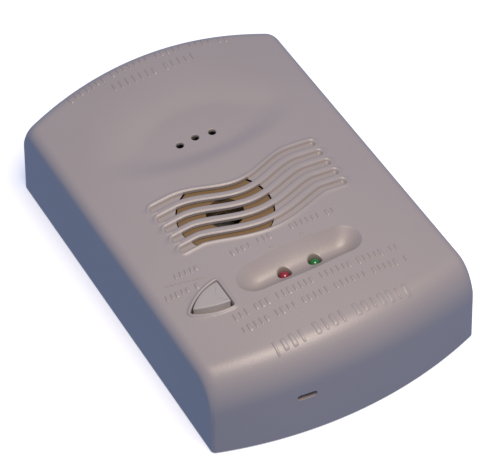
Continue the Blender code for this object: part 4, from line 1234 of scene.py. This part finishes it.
# %% A function that bakes the copies to one plain mesh
def copies(name, shape, rows, material, drape_on=None):
    """One plain mesh of copies of a shape, from rows of (place in mm, turn in degrees, size)."""
    points_mesh = bpy.data.meshes.new(f"{name}_points")
    points_mesh.from_pydata([[v * MM for v in row[0]] for row in rows], [], [])
    turns, sizes = [np.radians(row[1]) for row in rows], [row[2] for row in rows]
    for label, values in (("turn", turns), ("size", sizes)):
        layer = points_mesh.attributes.new(label, "FLOAT_VECTOR", "POINT")
        layer.data.foreach_set("vector", np.array(values, float).ravel())
    holder = bpy.data.objects.new(f"{name}_points", points_mesh)
    source = bpy.data.objects.new(f"{name}_copy", shape)
    for helper in (holder, source):
        bpy.context.scene.collection.objects.link(helper)
    tree = copies_tree(f"{name}_copies", drape_on is not None)
    modifier = holder.modifiers.new("copies", "NODES")
    modifier.node_group = tree
    given = {"Copy": source, "Drape on": drape_on, "Finish": material}
    for item in tree.interface.items_tree:
        if item.in_out == "INPUT" and given.get(item.name):
            modifier[item.identifier] = given[item.name]
    graph = bpy.context.evaluated_depsgraph_get()
    mesh = bpy.data.meshes.new_from_object(holder.evaluated_get(graph))
    mesh.name = name
    for attribute in ("turn", "size"):
        if attribute in mesh.attributes:
            mesh.attributes.remove(mesh.attributes[attribute])
    for helper in (holder, source):
        bpy.data.objects.remove(helper)
    return mesh


# %% [markdown]
# ## Legends without words
#
# The cover has moulded legends. Here each letter is one plain raised stroke, grouped in runs like
# words, so that the legends keep their place and weight and say nothing. The strokes vary a little
# in width and height, from dice with a fixed seed, because even ones would look like a ruler.

# %% Strokes
def stroke_shape():
    """A raised stroke one unit wide and one tall, standing 0.27 mm out of the face it is laid on."""
    outline = rounded_rectangle((0, 0), (0.5, 0.5), 0.2, 3)
    shares = ((1.0, -0.25), (1.0, 0.02), (0.9, 0.13), (0.7, 0.22), (0.4, 0.27))
    stacked([(outline * share, z) for share, z in shares])
    return taken_mesh("stroke")


legend_dice = np.random.default_rng(7)


def legend_row(x0, x1, y, tall, pitch, wide=0.55, slant=0.0, follow_end=False):
    """Strokes along a line of legend, with a gap after every few of them."""
    rows, x, left = [], x0 + pitch / 2, int(legend_dice.integers(3, 8))
    while x < x1:
        share = (x - x0) / (x1 - x0)
        place_y, angle = y + slant * share, math.degrees(math.atan2(slant, x1 - x0))
        if follow_end:
            place_y = y - float(end_reach(0.0) - end_reach(x))
            angle = math.degrees(math.atan2(float(end_reach(x + 0.5) - end_reach(x - 0.5)), 1.0))
        height = tall * float(legend_dice.choice((1.0, 1.0, 0.86)))
        width = wide * float(legend_dice.choice((1.0, 1.0, 1.9)))
        rows.append(((x, place_y, 0.0), (0, 0, angle), (width, height, 1.0)))
        left -= 1
        x += pitch * (1.0 if left else 1.8)
        left = left or int(legend_dice.integers(3, 8))
    return rows


# %% The cover's legends
# Each row: x from, x to, y, height of the strokes, pitch.
legend = [
    *legend_row(-27.0, 26.5, 57.5, 2.6, 1.9, follow_end=True),
    *legend_row(-14.3, 14.4, 52.0, 3.4, 2.2),
    *legend_row(-15.8, -3.2, -21.1, 2.5, 1.7),
    *legend_row(2.8, 17.1, -21.1, 2.5, 1.7),
    *legend_row(-32.6, -23.2, -19.2, 2.2, 1.5, slant=-1.1),
    *legend_row(-38.0, -28.4, -24.2, 2.2, 1.5, slant=-1.3),
    *legend_row(-26.2, 26.2, -40.7, 2.8, 1.75),
    *legend_row(-26.2, 26.2, -45.7, 2.8, 1.75),
    *legend_row(-22.5, 21.8, -55.5, 4.2, 2.6, wide=0.8),
    ((-4.9, -24.7, 0.0), (0, 0, 45), (0.8, 0.8, 1.0)),
    ((4.8, -24.7, 0.0), (0, 0, 45), (0.8, 0.8, 1.0)),
]
for share in np.linspace(0.06, 0.94, 9):
    spot = (-35.6 + 10.7 * share, -20.5 - 3.7 * share, 0.0)
    legend.append((spot, (0, 0, -19), (1.36, 0.35, 0.8)))
legend_mesh = copies("cover_legend", stroke_shape(), legend, COVER_ABS, cover)  # draped on the cover
cover_legend = piece("cover_legend", legend_mesh, COVER_ABS, "detector")
print("legend strokes:", len(legend))

# %% [markdown]
# ## Cases on the board
#
# Relays, chips, the crystal and the coil are moulded or drawn cases with rounded corners and a
# raised panel. A bevelled cube would look like any block, while a stack of outlines also has the
# slight draft that lets a case out of its mould. The legs are copies of one bent strip.

# %% Cases
for node_name, corner, edge, panel, material, slot in (
    ("alarm_relay", 0.7, 0.35, 0.9, RELAY_PBT, "relay_case"),
    ("trouble_relay", 0.7, 0.35, 0.9, RELAY_PBT, "relay_case"),
    ("microcontroller", 0.3, 0.15, 0.4, BLACK_EPOXY, "black_part"),
    ("voltage_regulator", 0.3, 0.2, 0.4, BLACK_EPOXY, "black_part"),
    ("crystal_can", 1.9, 0.4, 0.3, CAN_STEEL, "can_steel"),
    ("horn_driver_coil", 1.6, 0.4, 0.5, BLACK_EPOXY, "black_part"),
):
    low, high = box_mm(node_name)
    cased(low, high, corner, edge, panel=panel)
    made = piece(f"{node_name}_fine", taken_mesh(f"{node_name}_fine"), material, "detector", node_name)
    print(node_name, len(made.data.polygons), "faces")


# %% Legs
LEG_Z = 11.65  # height of a leg's lowest side, just clear of the board


def leg_shape():
    """A bent strip: out of a case, down and along the board."""
    path = [(-0.1, 0.62), (0.35, 0.62), (0.5, 0.55), (0.62, 0.2), (0.75, 0.1), (1.15, 0.1)]
    thick, half_wide = 0.14, 0.17
    signs = ((1, 1), (-1, 1), (-1, -1), (1, -1))
    rings = []
    for k, (x, z) in enumerate(path):
        before, after = path[max(k - 1, 0)], path[min(k + 1, len(path) - 1)]
        along = np.array(after) - before
        side = np.array([-along[1], along[0]]) / np.hypot(*along) * thick / 2
        rings.append(put([(x + sx * side[0], sy * half_wide, z + sx * side[1]) for sx, sy in signs]))
    for near, far in zip(rings, rings[1:]):
        join_loops(near, far)
    quads.append(tuple(rings[0][::-1]))
    quads.append(tuple(rings[-1]))
    return taken_mesh("leg")


# %% The legs at their places
def leg_rows(node_name, per_side, pitch, sides):
    """Places of the legs along some sides of a case: 0 right, 1 title end, 2 left, 3 lower end."""
    low, high = box_mm(node_name)
    centre = ((low[0] + high[0]) / 2, (low[1] + high[1]) / 2)
    rows = []
    for side in sides:
        reach = (high[0] - low[0]) / 2 if side % 2 == 0 else (high[1] - low[1]) / 2
        angle = side * math.pi / 2
        for k in range(per_side):
            along = (k - (per_side - 1) / 2) * pitch
            x = centre[0] + reach * math.cos(angle) - along * math.sin(angle)
            y = centre[1] + reach * math.sin(angle) + along * math.cos(angle)
            rows.append(((x, y, LEG_Z), (0, 0, math.degrees(angle)), (1, 1, 1)))
    return rows


legs = [*leg_rows("microcontroller", 8, 1.0, (0, 1, 2, 3)), *leg_rows("voltage_regulator", 3, 1.9, (1, 3))]
legs_mesh = copies("chip_legs", leg_shape(), legs, TINNED_COPPER)
legs_piece = piece("chip_legs", legs_mesh, TINNED_COPPER, "detector")
print("legs:", len(legs))

# %% [markdown]
# ## Capacitors
#
# An electrolytic capacitor is a drawn can in a shrunk sleeve. Its top has a cross pressed in, where
# it would vent, and a groove near its foot holds the seal. The cross isn't cut: rings on the top
# are lowered by a function of their place, which leaves soft edges like those of pressed metal.

# %% Capacitors
def cross(half_wide, reach, depth):
    """A function that gives a cross-shaped recess of a depth at each place."""

    def sunk(x, y):
        near = np.minimum(np.abs(x), np.abs(y))
        inside = smooth((reach - np.hypot(x, y)) / 0.3)
        return depth * smooth((half_wide * 1.4 - near) / (half_wide * 0.8)) * inside

    return sunk


for node_name in ("supply_capacitor", "filter_capacitor"):
    low, high = box_mm(node_name)
    radius, spot = (high[0] - low[0]) / 2, ((low[0] + high[0]) / 2, (low[1] + high[1]) / 2)
    outline = [(r, high[2]) for r in np.linspace(0, radius - 0.9, 12)]
    side = [(radius - 0.8, high[2]), (radius - 0.6, high[2]), (radius, high[2] - 0.7)]
    side += [(radius, low[2] + 2.2), (radius - 0.35, low[2] + 1.8), (radius, low[2] + 1.4)]
    side += [(radius, low[2]), (0, low[2])]
    outline += eased(side, 0.3)
    mesh = turned(f"{node_name}_fine", outline, spot, 64, cross(0.14, radius - 1.0, 0.18))
    can = piece(f"{node_name}_fine", mesh, SLEEVE_PVC, "detector", node_name)
    print(node_name, "radius", round(radius, 2), "mm")

# %% [markdown]
# ## Screws
#
# Each kind of screw is turned once with a recess in its head and rings for its thread, and set at
# its places by the tree of copies. A real thread is one helix. At this size rings look the same,
# and unlike a swept helix they leave no open ends.

# %% Screws
def blade_recess(half_wide, depth):
    """A function that gives a straight slot of a depth, wherever the place lies along it."""

    def sunk(x, _):
        return depth * smooth((half_wide * 1.3 - np.abs(x)) / (half_wide * 0.5))

    return sunk


def screw_shape(name, head_radius, head_high, shank_radius, length, sunk, pitch=0.7):
    """A screw with its head's underside at height 0 and its head upwards."""
    rings = [(r, head_high) for r in np.linspace(0, head_radius * 0.72, 13)]
    for wide, high in ((0.84, 0.93), (0.95, 0.72), (1.0, 0.4)):
        rings.append((head_radius * wide, head_high * high))
    core, z = shank_radius * 0.82, -0.3
    rings += [(head_radius, 0.05), (head_radius - 0.1, 0.0), (core, 0.0)]
    while z > -length + pitch:
        rings += [(core, z), (shank_radius, z - pitch * 0.4), (core, z - pitch * 0.8)]
        z -= pitch
    rings += [(shank_radius * 0.4, -length), (0, -length)]
    return turned(name, rings, (0, 0), 32, sunk)


def four(reach_x, reach_y):
    """The corners of a rectangle round the middle of the unit."""
    return [(x * reach_x, y * reach_y) for y in (-1, 1) for x in (-1, 1)]


# %% The screws at their places
# Heights of the heads' undersides. Each screw is turned by its own angle, as a driver leaves it.
BOARD_SCREW_Z, COVER_SCREW_Z, TERMINAL_SCREW_Z = 11.9, 2.7, 3.2
board_rows, cover_rows, terminal_rows = [], [], []
for k, (x, y) in enumerate(four(31.0, 38.5)):
    board_rows.append(((x, y, BOARD_SCREW_Z), (0, 0, 20 + 31 * k), (1, 1, 1)))
for k, (x, y) in enumerate(four(33.5, 47.0)):
    cover_rows.append(((x, y, COVER_SCREW_Z), (180, 0, 12 + 43 * k), (1, 1, 1)))
# Each shape: head radius, head height, shank radius, length, recess.
board_shape = screw_shape("board_screw_shape", 2.3, 1.5, 1.1, 6.5, cross(0.32, 1.25, 0.55))
cover_shape = screw_shape("cover_screw_shape", 2.7, 1.6, 1.2, 11.3, cross(0.36, 1.5, 0.55))
terminal_shape = screw_shape("terminal_screw_shape", 1.8, 1.5, 1.3, 2.4, blade_recess(0.35, 0.55), 0.5)
for index in range(8):
    low, high = box_mm(f"terminal_screw_{index + 1}")
    spot = ((low[0] + high[0]) / 2, (low[1] + high[1]) / 2)
    terminal_rows.append(((*spot, TERMINAL_SCREW_Z), (180, 0, 7 * (index % 3) - 5), (1, 1, 1)))
for name, shape, rows in (
    ("board_screw", board_shape, board_rows),
    ("cover_screw", cover_shape, cover_rows),
    ("terminal_screw", terminal_shape, terminal_rows),
):
    names = [f"{name}_{index + 1}" for index in range(len(rows))]
    made = piece(f"{name}s", copies(f"{name}s", shape, rows, STEEL_ZINC), STEEL_ZINC, "detector", *names)
    print(name, len(rows), "copies")

# %% [markdown]
# ## Housing, plate, latch, terminals, switch and board
#
# These keep the shape of their CAD solids, with every sharp edge rounded as a mould would leave it.
# They could be modelled again with finer detail, but a bevel on a merged copy keeps each hole, rib
# and post exactly where the joints and the screws expect it.

# %% Softened copies
for node_name, width, material, body, slot in (
    ("mounting_plate", 0.3, PLATE_ABS, "wall_plate", "white_plate"),
    ("rear_housing", 0.25, TRAY_ABS, "detector", "grey_tray"),
    ("release_latch", 0.3, PLATE_ABS, "release_latch_finger", "white_plate"),
    ("power_terminal_block", 0.2, TERMINAL_NYLON, "detector", "terminal_green"),
    ("relay_terminal_block", 0.2, TERMINAL_NYLON, "detector", "terminal_green"),
    ("tact_switch_body", 0.2, BLACK_EPOXY, "detector", "black_part"),
    ("tact_switch_plunger", 0.15, BLACK_EPOXY, "switch_plunger", "black_part"),
    ("circuit_board", 0.08, GREEN_MASK, "detector", "board"),
):
    made = piece(f"{node_name}_fine", softened(node_name, width), material, body, node_name)
    print(node_name, len(made.data.polygons), "faces")

# %% [markdown]
# ## Small parts on the board
#
# Resistors and capacitors without legs are scattered in rows where nothing else stands. Each is a
# small body with a tinned cap at both ends. The rows are walked in steps and the dice leave most
# places empty, which looks more like a laid-out board than places drawn at random would.

# %% Small parts
SMALL_EDGES = {"corner": 0.08, "edge": 0.05, "draft": 0.0, "panel": 0.05, "raised": 0.03}
SMALL_Z, SMALL_ROOM, SMALL_SHARE = 11.62, 1.9, 0.42  # its height, the room round it, places filled
cased((-0.75, -0.42, 0.06), (0.75, 0.42, 0.55), **SMALL_EDGES)
body_shape = taken_mesh("small_body")
for near, far in ((-1.02, -0.72), (0.72, 1.02)):
    cased((near, -0.45, 0.0), (far, 0.45, 0.62), **SMALL_EDGES)
caps_shape = taken_mesh("small_caps")


# %% The small parts at their places
def stands_on_board(low, high):
    """Whether a node's box passes through the height of the small parts and is no wide sheet."""
    return high[2] > 11.0 and low[2] < 13.5 and high[0] - low[0] < 40.0


taken_spots = [box_mm(name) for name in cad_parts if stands_on_board(*box_mm(name))]


def blocked(spot):
    """Whether a place is too near something that stands on the board."""
    return any(
        all(low[axis] - SMALL_ROOM < spot[axis] < high[axis] + SMALL_ROOM for axis in (0, 1))
        for low, high in taken_spots
    )


small_rows = []
part_dice = np.random.default_rng(3)
for y in np.arange(-39.0, 40.0, 3.1):
    for x in np.arange(-31.0, 31.5, 3.9):
        spot = np.array((x, y)) + part_dice.uniform(-0.3, 0.3, 2)
        if not blocked(spot) and part_dice.random() < SMALL_SHARE:
            small_rows.append(((*spot, SMALL_Z), (0, 0, float(part_dice.choice((0, 0, 90)))), (1, 1, 1)))
for name, shape, material, slot in (
    ("small_part_bodies", body_shape, BLACK_EPOXY, "black_part"),
    ("small_part_caps", caps_shape, TINNED_COPPER, "can_steel"),
):
    made = piece(name, copies(name, shape, small_rows, material), material, "detector")
print("small parts:", len(small_rows))
